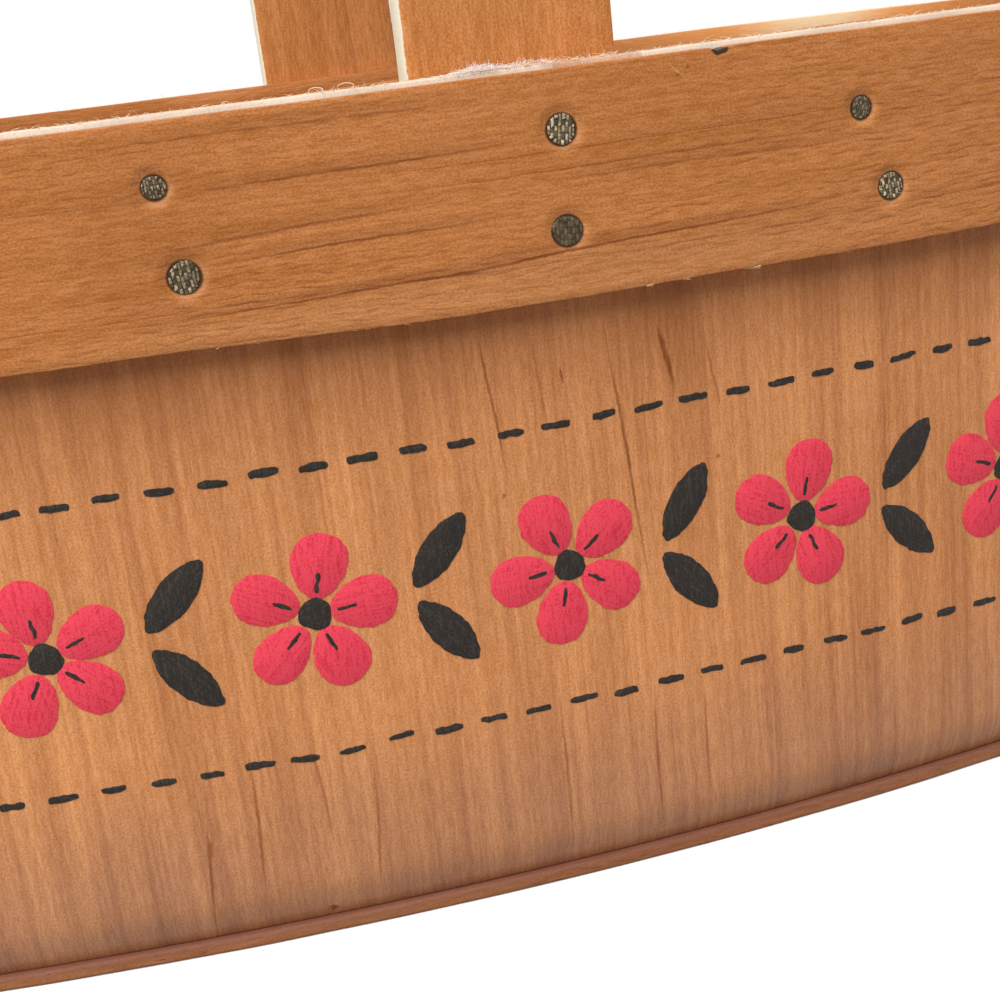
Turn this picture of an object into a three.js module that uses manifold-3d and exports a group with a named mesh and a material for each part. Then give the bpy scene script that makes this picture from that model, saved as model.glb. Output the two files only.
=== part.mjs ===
// Bentwood basket with a hoop handle, in millimetres, +Z up.
// The origin is on the floor under the middle of the base. +X runs along the basket and -Y is its front.
import * as THREE from 'three';
import { mergeVertices } from 'three/addons/utils/BufferGeometryUtils.js';
import Module from 'manifold-3d';

const wasm = await Module();
wasm.setup();

// Clearance left between pieces that lie on each other
const seatGap = 0.3;

// Plan of the wall's outer face at its top edge: four shallow bows joined by round corners
const halfLength = 150;
const halfWidth = 90;
const sideBowRadius = 640;
const endBowRadius = 180;
const cornerRadius = 45;

// Wall sheet: thin, a little narrower at the foot, and tucked in just above the base
const wallThickness = 2.4;
const wallHeight = 139.6;
const wallTaper = 6;
const footTuck = 2.5;
const footTuckHeight = 10;
const wallLap = 30;
const wallLapPair = -4;

// Base board: a lip that the wall stands on, and a plug that fits inside the wall
const lipHeight = 2.6;
const lipProud = 1.5;
const lipEase = 0.5;
const plugHeight = 5.4;

// Outer rim band: its top lies below the raw edge of the wall
const outerBandHeight = 35.4;
const outerBandThickness = 4.2;
const outerBandDrop = 1;
const outerBandLap = 44;
const outerBandLapPair = 6;

// Inner rim band: level with the wall's top, and bent out over each leg of the handle
const innerBandHeight = 36;
const innerBandThickness = 3;
const innerBandLap = 40;
const innerBandLapPair = -5;
const legLead = 1.5;
const legEaseLength = 26;

// Pared ends of the bent strips, and the worn edges of the bands
const featherThickness = 0.7;
const lapStep = 0.2;
const bandEase = 0.5;

// Handle: a flat strip, straight along the wall and round over the top
const handleWidth = 33.8;
const handleThickness = 7;
const handleRise = 150;
const handleTail = 9;
const handleEase = 0.5;

// Nails, in pairs one above the other, with their points turned over inside the rim
const nailPairs = 14;
const nailDrop = 11.3;
const nailRowSpacing = 13.7;
const headRadius = 2.5;
const headThickness = 1;
const headEase = 0.3;
const headSink = 0.3;
const shankRadius = 0.95;
const clenchBend = 1.4;
const clenchTail = 4;
const clenchTip = 0.3;

// How far hand-driven nails stray along the band and up or down. Each row strays in a wave, whose start
// and step from pair to pair are in radians.
const upperStrayAlong = 5.2;
const upperAlongStart = 2.07;
const upperAlongStep = 1.7;
const lowerStrayAlong = 4.3;
const lowerAlongStart = 1.92;
const lowerAlongStep = 0.7;
const strayDrop = 2.1;
const upperDropStart = -0.61;
const upperDropStep = 2.14;
const lowerDropStart = 0.34;
const lowerDropStep = 0.73;

// Fineness of the facets
const facetError = 0.16;
const nailSides = 8;
const archSegments = 24;
const tuckSteps = 2;
const legEaseSteps = 6;

// Heights that follow from the sizes above
const wallFoot = lipHeight + seatGap;
const wallTop = wallFoot + wallHeight;
const baseTop = lipHeight + plugHeight;
const outerBandTop = wallTop - outerBandDrop;
const wallTilt = Math.atan2(wallTaper, wallHeight);

// How far the wall's outer face lies inside the plan at a height
function wallLean(height) {
  const taper = wallTaper * (wallTop - height) / wallHeight;
  const tucked = Math.max(0, wallFoot + footTuckHeight - height) / footTuckHeight;
  return -(taper + footTuck * tucked ** 2);
}

// The plan as arcs, each from one heading to the next, starting at the middle of the front
function makePlan() {
  const sideCentre = sideBowRadius - halfWidth;
  const endCentre = halfLength - endBowRadius;
  const cornerFromSide = sideBowRadius - cornerRadius;
  const cornerFromEnd = endBowRadius - cornerRadius;
  const centresApart = Math.hypot(sideCentre, endCentre);
  const foot = (centresApart ** 2 + cornerFromSide ** 2 - cornerFromEnd ** 2) / (2 * centresApart);
  const reach = Math.sqrt(cornerFromSide ** 2 - foot ** 2);
  const cornerX = (foot * endCentre + reach * sideCentre) / centresApart;
  const cornerY = sideCentre - (foot * sideCentre - reach * endCentre) / centresApart;
  const sideTurn = Math.atan2(cornerX, sideCentre - cornerY);
  const endTurn = Math.PI / 2 - Math.atan2(-cornerY, cornerX - endCentre);

  const arcs = [];
  let length = 0;
  function addArc(x, y, radius, from, to) {
    arcs.push({ x, y, radius, from, to, start: length });
    length += radius * (to - from);
  }
  addArc(0, sideCentre, sideBowRadius, 0, sideTurn);
  addArc(cornerX, cornerY, cornerRadius, sideTurn, endTurn);
  addArc(endCentre, 0, endBowRadius, endTurn, Math.PI - endTurn);
  addArc(cornerX, -cornerY, cornerRadius, Math.PI - endTurn, Math.PI - sideTurn);
  addArc(0, -sideCentre, sideBowRadius, Math.PI - sideTurn, Math.PI + sideTurn);
  addArc(-cornerX, -cornerY, cornerRadius, Math.PI + sideTurn, Math.PI + endTurn);
  addArc(-endCentre, 0, endBowRadius, Math.PI + endTurn, 2 * Math.PI - endTurn);
  addArc(-cornerX, cornerY, cornerRadius, 2 * Math.PI - endTurn, 2 * Math.PI - sideTurn);
  addArc(0, sideCentre, sideBowRadius, 2 * Math.PI - sideTurn, 2 * Math.PI);

  const stations = [];
  for (const arc of arcs) {
    const facetTurn = 2 * Math.acos(1 - facetError / arc.radius);
    const facets = Math.ceil((arc.to - arc.from) / facetTurn);
    for (let facet = 0; facet < facets; facet += 1) {
      stations.push(arc.start + arc.radius * (arc.to - arc.from) * facet / facets);
    }
  }
  return { arcs, length, stations };
}

const plan = makePlan();

function wrap(along) {
  return THREE.MathUtils.euclideanModulo(along, plan.length);
}

// A point that lies outside the plan by an offset, and the heading of the plan there
function planPoint(along, offset, height) {
  const place = wrap(along);
  const arc = plan.arcs.findLast((candidate) => candidate.start <= place);
  const heading = arc.from + (place - arc.start) / arc.radius;
  const radius = arc.radius + offset;
  const x = arc.x + radius * Math.sin(heading);
  const y = arc.y - radius * Math.cos(heading);
  return { point: new THREE.Vector3(x, y, height), heading };
}

function toSolid(geometry) {
  const bare = new THREE.BufferGeometry();
  bare.setAttribute('position', geometry.getAttribute('position'));
  bare.setIndex(geometry.getIndex());
  const merged = mergeVertices(bare, 1e-4);
  const vertProperties = new Float32Array(merged.getAttribute('position').array);
  const triVerts = new Uint32Array(merged.getIndex().array);
  return new wasm.Manifold(new wasm.Mesh({ numProp: 3, vertProperties, triVerts }));
}

function toGeometry(solid) {
  const mesh = solid.getMesh();
  const geometry = new THREE.BufferGeometry();
  geometry.setAttribute('position', new THREE.BufferAttribute(mesh.vertProperties, mesh.numProp));
  geometry.setIndex(new THREE.BufferAttribute(mesh.triVerts, 1));
  geometry.computeVertexNormals();
  return geometry;
}

function closedGeometry(points, triangles) {
  const geometry = new THREE.BufferGeometry().setFromPoints(points);
  geometry.setIndex(triangles);
  geometry.computeVertexNormals();
  return geometry;
}

// Quads between rings of equal count. The rings run anticlockwise as seen from the first one's side.
function skinRings(ringCount, ringSize) {
  const triangles = [];
  for (let ring = 0; ring < ringCount - 1; ring += 1) {
    for (let step = 0; step < ringSize; step += 1) {
      const here = ring * ringSize + step;
      const beside = ring * ringSize + (step + 1) % ringSize;
      triangles.push(here, here + ringSize, beside);
      triangles.push(beside, here + ringSize, beside + ringSize);
    }
  }
  return triangles;
}

// Distances from the start of a strip at which it has a section
function stripStations(start, lap, bends) {
  const lapEnds = [0, lap, lap + seatGap, lap + seatGap + lapStep];
  const coverSteps = [-seatGap - lapStep, -seatGap, 0, lap];
  const marks = [...lapEnds, ...coverSteps.map((step) => plan.length + step)];
  function addMark(along) {
    if (along < plan.length + lap && marks.every((mark) => Math.abs(mark - along) > lapStep / 2)) {
      marks.push(along);
    }
  }
  for (const place of [...plan.stations, ...bends]) {
    addMark(wrap(place - start));
    addMark(wrap(place - start) + plan.length);
  }
  return marks.sort((a, b) => a - b);
}

// The faces of a strip against its full thickness, pared outside at its start and inside at its finish
function lapFaces(along, lap, thickness) {
  const cover = along - plan.length;
  let outer = 0;
  let inner = -thickness;
  if (along < lap + seatGap + lapStep / 2) {
    const share = Math.min(1, along / lap);
    outer = THREE.MathUtils.lerp(featherThickness - thickness, -featherThickness - seatGap, share);
  }
  if (cover > -seatGap - lapStep / 2) {
    const share = Math.max(0, cover / lap);
    inner = THREE.MathUtils.lerp(featherThickness - thickness + seatGap, -featherThickness, share);
  }
  return [outer, inner];
}

// A strip bent round the whole plan, whose finish laps over its start
function bentStrip({ middleOfLap, lap, thickness, outerFace, section, bends = [] }) {
  const start = middleOfLap - lap / 2;
  const stations = stripStations(start, lap, bends);
  const points = [];
  let ring = [];
  const caps = [];
  for (const along of stations) {
    const [outer, inner] = lapFaces(along, lap, thickness);
    const face = outerFace(start + along);
    ring = section(face + outer, face + inner);
    if (along === stations[0] || along === stations.at(-1)) {
      const outline = ring.map(([depth, height]) => new THREE.Vector2(depth, height));
      caps.push({ first: points.length, faces: THREE.ShapeUtils.triangulateShape(outline, []), outline });
    }
    for (const [depth, height] of ring) {
      points.push(planPoint(start + along, depth + wallLean(height), height).point);
    }
  }
  const triangles = skinRings(stations.length, ring.length);
  caps.forEach(({ first, faces, outline }, end) => {
    for (const [a, b, c] of faces) {
      const anticlockwise = THREE.ShapeUtils.area([outline[a], outline[b], outline[c]]) > 0;
      const facesBack = end === 0;
      const corners = anticlockwise === facesBack ? [a, b, c] : [a, c, b];
      triangles.push(...corners.map((corner) => first + corner));
    }
  });
  return closedGeometry(points, triangles);
}

function wallSection(outer, inner) {
  const levels = [];
  for (let step = 0; step <= tuckSteps; step += 1) {
    levels.push(wallFoot + footTuckHeight * step / tuckSteps);
  }
  levels.push(wallTop);
  const up = levels.map((height) => [outer, height]);
  const down = levels.map((height) => [inner, height]).reverse();
  return [...up, ...down];
}

// A band's section, with its two edges eased on the side that shows
function bandSection(top, height, outer, inner, eased) {
  const bottom = top - height;
  const ease = Math.min(bandEase, (outer - inner) / 3);
  const outerEase = eased === 'outer' ? ease : 0;
  const innerEase = eased === 'inner' ? ease : 0;
  const ring = [[outer - outerEase, bottom]];
  if (outerEase > 0) {
    ring.push([outer, bottom + ease], [outer, top - ease]);
  }
  ring.push([outer - outerEase, top], [inner + innerEase, top]);
  if (innerEase > 0) {
    ring.push([inner, top - ease], [inner, bottom + ease]);
  }
  ring.push([inner + innerEase, bottom]);
  return ring;
}

// The flat leg stands off the bowed wall by the bow's rise across the leg's width
const wallInnerBow = sideBowRadius - wallThickness;
const bowAcrossLeg = wallInnerBow - Math.sqrt(wallInnerBow ** 2 - (handleWidth / 2) ** 2);
const legOuterFace = wallThickness + bowAcrossLeg + seatGap;
const legInnerFace = legOuterFace + handleThickness / Math.cos(wallTilt);
const bandOuterFace = seatGap + outerBandThickness;
const innerSeat = wallThickness + seatGap;
const legLift = legInnerFace + seatGap - innerSeat;
const legHold = handleWidth / 2 + legLead;

// Depth of the inner band's outer face: on the wall, and over the legs at the front and back middles
function innerBandFace(along) {
  const fromFront = Math.min(wrap(along), plan.length - wrap(along));
  const fromLeg = Math.min(fromFront, plan.length / 2 - fromFront);
  const onLeg = 1 - THREE.MathUtils.smoothstep(fromLeg, legHold, legHold + legEaseLength);
  return -(innerSeat + legLift * onLeg);
}

function innerBandBends() {
  const bends = [];
  for (const middle of [0, plan.length / 2]) {
    for (let step = 0; step <= legEaseSteps; step += 1) {
      const away = legHold + legEaseLength * step / legEaseSteps;
      bends.push(middle - away, middle + away);
    }
  }
  return bends;
}

// Nails

const backPair = nailPairs / 2;

function pairAlong(pair) {
  return plan.length * pair / nailPairs;
}

function strayedAlong(pair, row) {
  if (row === 0) {
    return upperStrayAlong * Math.sin(upperAlongStart + upperAlongStep * pair);
  }
  return lowerStrayAlong * Math.sin(lowerAlongStart + lowerAlongStep * pair);
}

function strayedDown(pair, row) {
  if (row === 0) {
    return strayDrop * Math.sin(upperDropStart + upperDropStep * pair);
  }
  return strayDrop * Math.sin(lowerDropStart + lowerDropStep * pair);
}

function nailPlaces() {
  const nails = [];
  for (let pair = 1 - backPair; pair <= backPair; pair += 1) {
    for (const row of [0, 1]) {
      const along = pairAlong(pair) + strayedAlong(pair, row);
      const height = wallTop - nailDrop - nailRowSpacing * row - strayedDown(pair, row);
      const side = row === 0 ? 'upper' : 'lower';
      const grip = bandOuterFace - innerBandFace(along) + innerBandThickness;
      const place = String(pair + backPair).padStart(2, '0');
      let name = `rim_nail_${place}_${side}`;
      if (pair === 0) {
        name = `handle_nail_front_${side}`;
      }
      if (pair === backPair) {
        name = `handle_nail_back_${side}`;
      }
      nails.push({ name, pair, along, height, grip });
    }
  }
  return nails;
}

// Puts an object on the outer band's face, its +Y into the wood and square to the leaning wall
function placeOnBand(object, nail) {
  const { point, heading } = planPoint(nail.along, bandOuterFace + wallLean(nail.height), nail.height);
  object.position.copy(point);
  object.rotation.set(wallTilt, 0, heading, 'ZYX');
  object.updateMatrix();
  return object;
}

// A round bar through rings of set depth, drop, turn and radius. The bar bends down from the nail's axis.
function roundBar(rings, sides) {
  const points = [];
  for (const { depth, drop, turn, radius } of rings) {
    for (let side = 0; side < sides; side += 1) {
      const angle = 2 * Math.PI * (side + 0.5) / sides;
      const across = radius * Math.cos(angle);
      const above = radius * Math.sin(angle);
      points.push(new THREE.Vector3(across, depth + above * Math.sin(turn), -drop + above * Math.cos(turn)));
    }
  }
  const triangles = skinRings(rings.length, sides);
  const last = (rings.length - 1) * sides;
  for (let side = 1; side < sides - 1; side += 1) {
    triangles.push(0, side, side + 1);
    triangles.push(last, last + side + 1, last + side);
  }
  return closedGeometry(points, triangles);
}

function nailGeometry(grip) {
  const neck = headSink + headThickness;
  const tailDepth = grip + seatGap + shankRadius;
  const bendStart = tailDepth - clenchBend;
  const halfTurn = Math.PI / 4;
  const bent = clenchBend * (1 - Math.cos(halfTurn));
  const rings = [
    { depth: headSink, drop: 0, turn: 0, radius: headRadius - headEase },
    { depth: headSink + headEase, drop: 0, turn: 0, radius: headRadius },
    { depth: neck, drop: 0, turn: 0, radius: headRadius },
    { depth: neck, drop: 0, turn: 0, radius: shankRadius },
    { depth: bendStart, drop: 0, turn: 0, radius: shankRadius },
    { depth: bendStart + clenchBend * Math.sin(halfTurn), drop: bent, turn: halfTurn, radius: shankRadius },
    { depth: tailDepth, drop: clenchBend, turn: Math.PI / 2, radius: shankRadius },
    { depth: tailDepth, drop: clenchBend + clenchTail, turn: Math.PI / 2, radius: clenchTip },
  ];
  return roundBar(rings, nailSides);
}

// The room that a nail needs: a dent for its head, and a hole for its shank
function borePeg(nail, radius, from, to) {
  const peg = new THREE.CylinderGeometry(radius, radius, to - from, nailSides);
  peg.rotateY(Math.PI / nailSides);
  peg.translate(0, (from + to) / 2, 0);
  peg.applyMatrix4(placeOnBand(new THREE.Object3D(), nail).matrix);
  return toSolid(peg);
}

function shankHole(nail) {
  return borePeg(nail, shankRadius + seatGap, -headRadius, nail.grip + headRadius);
}

function headDent(nail) {
  return borePeg(nail, headRadius + seatGap, -headRadius, headSink + headThickness + seatGap);
}

function bored(geometry, cutters) {
  let solid = toSolid(geometry);
  for (const cutter of cutters) {
    solid = solid.subtract(cutter);
  }
  return toGeometry(solid);
}

const nails = nailPlaces();
const legNails = nails.filter(({ pair }) => pair === 0 || pair === backPair);
const shankHoles = nails.map(shankHole);

// Pieces

function makeWallSheet() {
  const sheet = bentStrip({
    middleOfLap: pairAlong(wallLapPair),
    lap: wallLap,
    thickness: wallThickness,
    outerFace: () => 0,
    section: wallSection,
  });
  return bored(sheet, shankHoles);
}

function makeOuterBand() {
  const band = bentStrip({
    middleOfLap: pairAlong(outerBandLapPair),
    lap: outerBandLap,
    thickness: outerBandThickness,
    outerFace: () => bandOuterFace,
    section: (outer, inner) => bandSection(outerBandTop, outerBandHeight, outer, inner, 'outer'),
  });
  return bored(band, [...nails.map(headDent), ...shankHoles]);
}

function makeInnerBand() {
  const band = bentStrip({
    middleOfLap: pairAlong(innerBandLapPair),
    lap: innerBandLap,
    thickness: innerBandThickness,
    outerFace: innerBandFace,
    section: (outer, inner) => bandSection(wallTop, innerBandHeight, outer, inner, 'inner'),
    bends: innerBandBends(),
  });
  return bored(band, shankHoles);
}

function makeBaseBoard() {
  const lipEdge = wallLean(wallFoot) + lipProud;
  const plugEdge = wallLean(wallFoot) - innerSeat;
  const outlines = [
    { height: 0, edge: lipEdge - lipEase },
    { height: lipEase, edge: lipEdge },
    { height: lipHeight - lipEase, edge: lipEdge },
    { height: lipHeight, edge: lipEdge - lipEase },
    { height: lipHeight, edge: plugEdge },
    { height: baseTop, edge: plugEdge },
  ];
  const count = plan.stations.length;
  const points = [];
  for (const { height, edge } of outlines) {
    for (const along of plan.stations) {
      points.push(planPoint(along, edge, height).point);
    }
  }
  const triangles = skinRings(outlines.length, count).toReversed();
  const underside = points.push(new THREE.Vector3(0, 0, 0)) - 1;
  const upperside = points.push(new THREE.Vector3(0, 0, baseTop)) - 1;
  const upperRing = (outlines.length - 1) * count;
  for (let step = 0; step < count; step += 1) {
    const next = (step + 1) % count;
    triangles.push(underside, next, step);
    triangles.push(upperside, upperRing + step, upperRing + next);
  }
  return closedGeometry(points, triangles);
}

// The hoop is drawn from the side, as Y and Z, and pushed out along X
function makeHandle() {
  const sine = Math.sin(wallTilt);
  const cosine = Math.cos(wallTilt);
  const faceAtRim = halfWidth - legOuterFace;
  const outerArch = (faceAtRim * cosine + handleRise * sine) / (1 + sine);
  const innerArch = outerArch - handleThickness;
  const archCentre = wallTop + handleRise - outerArch;
  const legLength = (innerBandHeight + handleTail) / cosine;
  const outerToe = new THREE.Vector2(faceAtRim - legLength * sine, wallTop - legLength * cosine);
  const innerToe = outerToe.clone();
  innerToe.x -= handleThickness * cosine;
  innerToe.y += handleThickness * sine;

  const outline = new THREE.Shape();
  outline.moveTo(outerToe.x, outerToe.y);
  outline.absarc(0, archCentre, outerArch, -wallTilt, Math.PI + wallTilt, false);
  outline.lineTo(-outerToe.x, outerToe.y);
  outline.lineTo(-innerToe.x, innerToe.y);
  outline.absarc(0, archCentre, innerArch, Math.PI + wallTilt, -wallTilt, true);
  outline.lineTo(innerToe.x, innerToe.y);
  const hoop = new THREE.ExtrudeGeometry(outline, {
    depth: handleWidth - 2 * handleEase,
    curveSegments: archSegments,
    bevelThickness: handleEase,
    bevelSize: handleEase,
    bevelOffset: -handleEase,
    bevelSegments: 1,
  });
  hoop.translate(0, 0, handleEase - handleWidth / 2);
  const sideToFront = new THREE.Matrix4().makeBasis(
    new THREE.Vector3(0, 1, 0),
    new THREE.Vector3(0, 0, 1),
    new THREE.Vector3(1, 0, 0),
  );
  hoop.applyMatrix4(sideToFront);
  return bored(hoop, legNails.map(shankHole));
}

// Assembly

const basket = new THREE.Group();

function addPiece(name, geometry, color, roughness, metalness) {
  const material = new THREE.MeshStandardMaterial({ color, roughness, metalness });
  const piece = new THREE.Mesh(geometry, material);
  piece.name = name;
  basket.add(piece);
  return piece;
}

addPiece('base_board', makeBaseBoard(), '#a06e50', 0.7, 0);
addPiece('wall_sheet', makeWallSheet(), '#c18258', 0.6, 0);
addPiece('outer_rim_band', makeOuterBand(), '#b97b4b', 0.6, 0);
addPiece('inner_rim_band', makeInnerBand(), '#bd7c4c', 0.6, 0);
addPiece('handle_hoop', makeHandle(), '#c58049', 0.6, 0);

for (const nail of nails) {
  placeOnBand(addPiece(nail.name, nailGeometry(nail.grip), '#4d463c', 0.45, 0.8), nail);
}

export default basket;
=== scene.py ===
# %% [markdown]
# # A bentwood basket
#
# This lesson builds a small carrying basket: a thin sheet of wood bent into a wall, a strip nailed
# round the outside of its rim, a thinner strip inside it, a broad flat hoop for a handle, and a board
# for the bottom. The imported CAD model is loaded first and kept as a fixed frame, so that every piece
# made here goes where the CAD has it.

# %% Load the frame
import math
import random

import bpy
import numpy as np
from mathutils import Matrix, Vector, noise


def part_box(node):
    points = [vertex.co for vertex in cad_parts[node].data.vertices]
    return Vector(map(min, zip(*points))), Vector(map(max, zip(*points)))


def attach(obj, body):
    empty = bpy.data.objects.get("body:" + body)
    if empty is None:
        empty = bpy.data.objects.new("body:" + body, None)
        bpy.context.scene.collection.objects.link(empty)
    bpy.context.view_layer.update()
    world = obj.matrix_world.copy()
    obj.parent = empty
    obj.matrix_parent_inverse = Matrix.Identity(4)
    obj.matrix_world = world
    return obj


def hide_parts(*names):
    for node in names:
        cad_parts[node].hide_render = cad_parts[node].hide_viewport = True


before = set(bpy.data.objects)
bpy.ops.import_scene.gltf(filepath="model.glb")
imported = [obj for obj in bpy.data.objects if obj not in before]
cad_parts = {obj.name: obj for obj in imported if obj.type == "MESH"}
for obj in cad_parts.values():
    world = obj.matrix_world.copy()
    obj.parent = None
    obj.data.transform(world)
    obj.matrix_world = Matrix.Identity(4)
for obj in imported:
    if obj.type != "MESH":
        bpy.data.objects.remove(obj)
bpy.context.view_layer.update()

bpy.ops.object.select_all(action="DESELECT")
print("frame loaded with", len(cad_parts), "CAD nodes")

# %% [markdown]
# ## Where the camera stands
# The photograph is a close view of the front, a little above the rim and turned to the right, and the
# camera was rolled in the hand. A camera made from its place, its three turns and its lens gives the
# same view. It comes first, because every later choice is judged through it.

# %% Camera
MM = 0.001
WALL_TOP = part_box("wall_sheet")[1].z
CAMERA_ASIDE = -71.11 * MM
CAMERA_IN_FRONT = -340.18 * MM
CAMERA_ABOVE_RIM = 4.97 * MM
CAMERA_YAW = 0.2344
CAMERA_PITCH = -0.2754
CAMERA_ROLL = -0.124
CAMERA_LENS = 58.79
CAMERA_SENSOR = 36
CAMERA_NEAREST = 10 * MM


def add_camera():
    place = Vector((CAMERA_ASIDE, CAMERA_IN_FRONT, WALL_TOP + CAMERA_ABOVE_RIM))
    forward = Vector((math.sin(CAMERA_YAW) * math.cos(CAMERA_PITCH),
                      math.cos(CAMERA_YAW) * math.cos(CAMERA_PITCH),
                      math.sin(CAMERA_PITCH)))
    level = Vector((math.cos(CAMERA_YAW), -math.sin(CAMERA_YAW), 0))
    above = level.cross(forward)
    right = math.cos(CAMERA_ROLL) * level + math.sin(CAMERA_ROLL) * above
    up = math.cos(CAMERA_ROLL) * above - math.sin(CAMERA_ROLL) * level
    bpy.ops.object.camera_add()
    camera = bpy.context.object
    camera.matrix_world = Matrix.Translation(place) @ Matrix((right, up, -forward)).transposed().to_4x4()
    camera.data.lens = CAMERA_LENS
    camera.data.sensor_width = CAMERA_SENSOR
    camera.data.clip_start = CAMERA_NEAREST
    bpy.context.scene.camera = camera
    return camera


print("camera at", [round(value, 3) for value in add_camera().location])

# %% [markdown]
# ## The plan that every strip follows
# Seen from above, the wall is four shallow bows joined by round corners, as thin wood bends when it is
# pulled round a form. Each corner's circle touches two bows from inside, so its centre lies where two
# larger circles cross.

# %% The plan
GAP = 0.3 * MM
HALF_LENGTH = 150 * MM
HALF_WIDTH = 90 * MM
SIDE_BOW = 640 * MM
END_BOW = 180 * MM
CORNER = 45 * MM
NAIL_PAIRS = 14


def plan_arcs():
    """The arcs in order from the middle of the front: centre, radius, first and last heading, start."""
    side_centre = SIDE_BOW - HALF_WIDTH
    end_centre = HALF_LENGTH - END_BOW
    from_side = SIDE_BOW - CORNER
    from_end = END_BOW - CORNER
    apart = math.hypot(side_centre, end_centre)
    foot = (apart ** 2 + from_side ** 2 - from_end ** 2) / (2 * apart)
    reach = math.sqrt(from_side ** 2 - foot ** 2)
    corner_x = (foot * end_centre + reach * side_centre) / apart
    corner_y = side_centre - (foot * side_centre - reach * end_centre) / apart
    side = math.atan2(corner_x, side_centre - corner_y)
    end = math.pi / 2 - math.atan2(-corner_y, corner_x - end_centre)
    half = math.pi
    full = 2 * math.pi
    bows = [
        (0, side_centre, SIDE_BOW, 0, side),
        (corner_x, corner_y, CORNER, side, end),
        (end_centre, 0, END_BOW, end, half - end),
        (corner_x, -corner_y, CORNER, half - end, half - side),
        (0, -side_centre, SIDE_BOW, half - side, half + side),
        (-corner_x, -corner_y, CORNER, half + side, half + end),
        (-end_centre, 0, END_BOW, half + end, full - end),
        (-corner_x, corner_y, CORNER, full - end, full - side),
        (0, side_centre, SIDE_BOW, full - side, full),
    ]
    rows = []
    start = 0.0
    for x, y, radius, turn, turn_end in bows:
        rows.append((x, y, radius, turn, turn_end, start))
        start += radius * (turn_end - turn)
    return np.array(rows), start


ARCS, PLAN_LENGTH = plan_arcs()
ARC_STARTS = ARCS[:, 5]
NAIL_PITCH = PLAN_LENGTH / NAIL_PAIRS
print("plan is", round(PLAN_LENGTH / MM), "mm round, and nails come every", round(NAIL_PITCH / MM), "mm")

# %% [markdown]
# The strips are modelled flat and then bent, so these helpers treat the plan as a road: a distance
# along it, a distance outside it and a height turn into a point, and a point near it turns back into
# distances. Blender's own bend tools need a window, and a curve modifier would not keep the wall's
# lean, so the bending is done on the mesh's points.

# %% Along the plan
def arc_at(along):
    """The centre and radius of the arc at each distance along the plan, and the heading there."""
    along = np.mod(np.asarray(along, float), PLAN_LENGTH)
    x, y, radius, turn, _, start = ARCS[np.searchsorted(ARC_STARTS, along, side="right") - 1].T
    return x, y, radius, turn + (along - start) / radius


def round_plan(along, offset, height):
    x, y, radius, heading = arc_at(along)
    reach = radius + offset
    return np.column_stack((x + reach * np.sin(heading), y - reach * np.cos(heading), height + 0 * heading))


def from_front(along):
    """Distances along the plan, counted to the right and the left from the middle of the front."""
    return (np.asarray(along) + PLAN_LENGTH / 2) % PLAN_LENGTH - PLAN_LENGTH / 2


def unroll(x, y):
    """The distance along the plan and outside it of a point near the plan."""
    found = []
    for centre_x, centre_y, radius, turn, turn_end, start in ARCS:
        heading = math.atan2(x - centre_x, centre_y - y) % (2 * math.pi)
        if turn <= heading <= turn_end:
            outside = math.hypot(x - centre_x, y - centre_y) - radius
            found.append((abs(outside), start + radius * (heading - turn), outside))
    return min(found)[1:]


print("a quarter of the way round is", np.round(round_plan([PLAN_LENGTH / 4], 0, 0)[0] / MM), "mm")

# %% [markdown]
# ## The wall's lean, and the nails
# The wall leans out towards its rim and tucks in just above the base. Heights are read from the CAD
# boxes. The nails were driven by hand and stray a little, so their places are read from the CAD nails
# themselves: the widest part of each, on its outer end, is the head.

# %% Heights and nail places
WALL_THICKNESS = 2.4 * MM
WALL_TAPER = 6 * MM
FOOT_TUCK = 2.5 * MM
FOOT_TUCK_HEIGHT = 10 * MM
OUTER_THICKNESS = 4.2 * MM
INNER_THICKNESS = 3 * MM
HEAD_THICKNESS = 1 * MM
HEAD_SINK = 0.3 * MM
HEAD_SLICE = 1.2 * HEAD_THICKNESS
COUNTED_BACK = 0.75 * PLAN_LENGTH

WALL_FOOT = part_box("wall_sheet")[0].z
WALL_HEIGHT = WALL_TOP - WALL_FOOT
WALL_TILT = math.atan2(WALL_TAPER, WALL_HEIGHT)
OUTER_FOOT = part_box("outer_rim_band")[0].z
OUTER_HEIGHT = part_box("outer_rim_band")[1].z - OUTER_FOOT
OUTER_FACE = GAP + OUTER_THICKNESS
INNER_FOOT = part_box("inner_rim_band")[0].z
INNER_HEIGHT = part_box("inner_rim_band")[1].z - INNER_FOOT


def lean_at(height):
    taper = WALL_TAPER * (WALL_TOP - height) / WALL_HEIGHT
    tucked = np.maximum(0, (WALL_FOOT + FOOT_TUCK_HEIGHT - height) / FOOT_TUCK_HEIGHT)
    return -(taper + FOOT_TUCK * tucked ** 2)


def read_nail(name):
    spots = []
    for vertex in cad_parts[name].data.vertices:
        along, outside = unroll(vertex.co.x, vertex.co.y)
        if along > COUNTED_BACK:
            along -= PLAN_LENGTH
        spots.append((along, vertex.co.z, outside - lean_at(vertex.co.z)))
    spots = np.array(spots)
    head = spots[spots[:, 2] > spots[:, 2].max() - HEAD_SLICE]
    return {"name": name, "along": head[:, 0].mean(), "height": head[:, 1].mean()}


NAILS = [read_nail(name) for name in sorted(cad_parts) if "_nail_" in name]
print(len(NAILS), "nails, the first at", round(NAILS[0]["along"] / MM, 1), round(NAILS[0]["height"] / MM, 1))

# %% [markdown]
# ## The bench
# Each strip starts flat on the bench, as the maker's does: X runs along it, Y across its width, and Z
# through it, with its outer face at zero. A grid is stretched to the strip's size and extruded to its
# thickness, and a bevel eases its edges.

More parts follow.
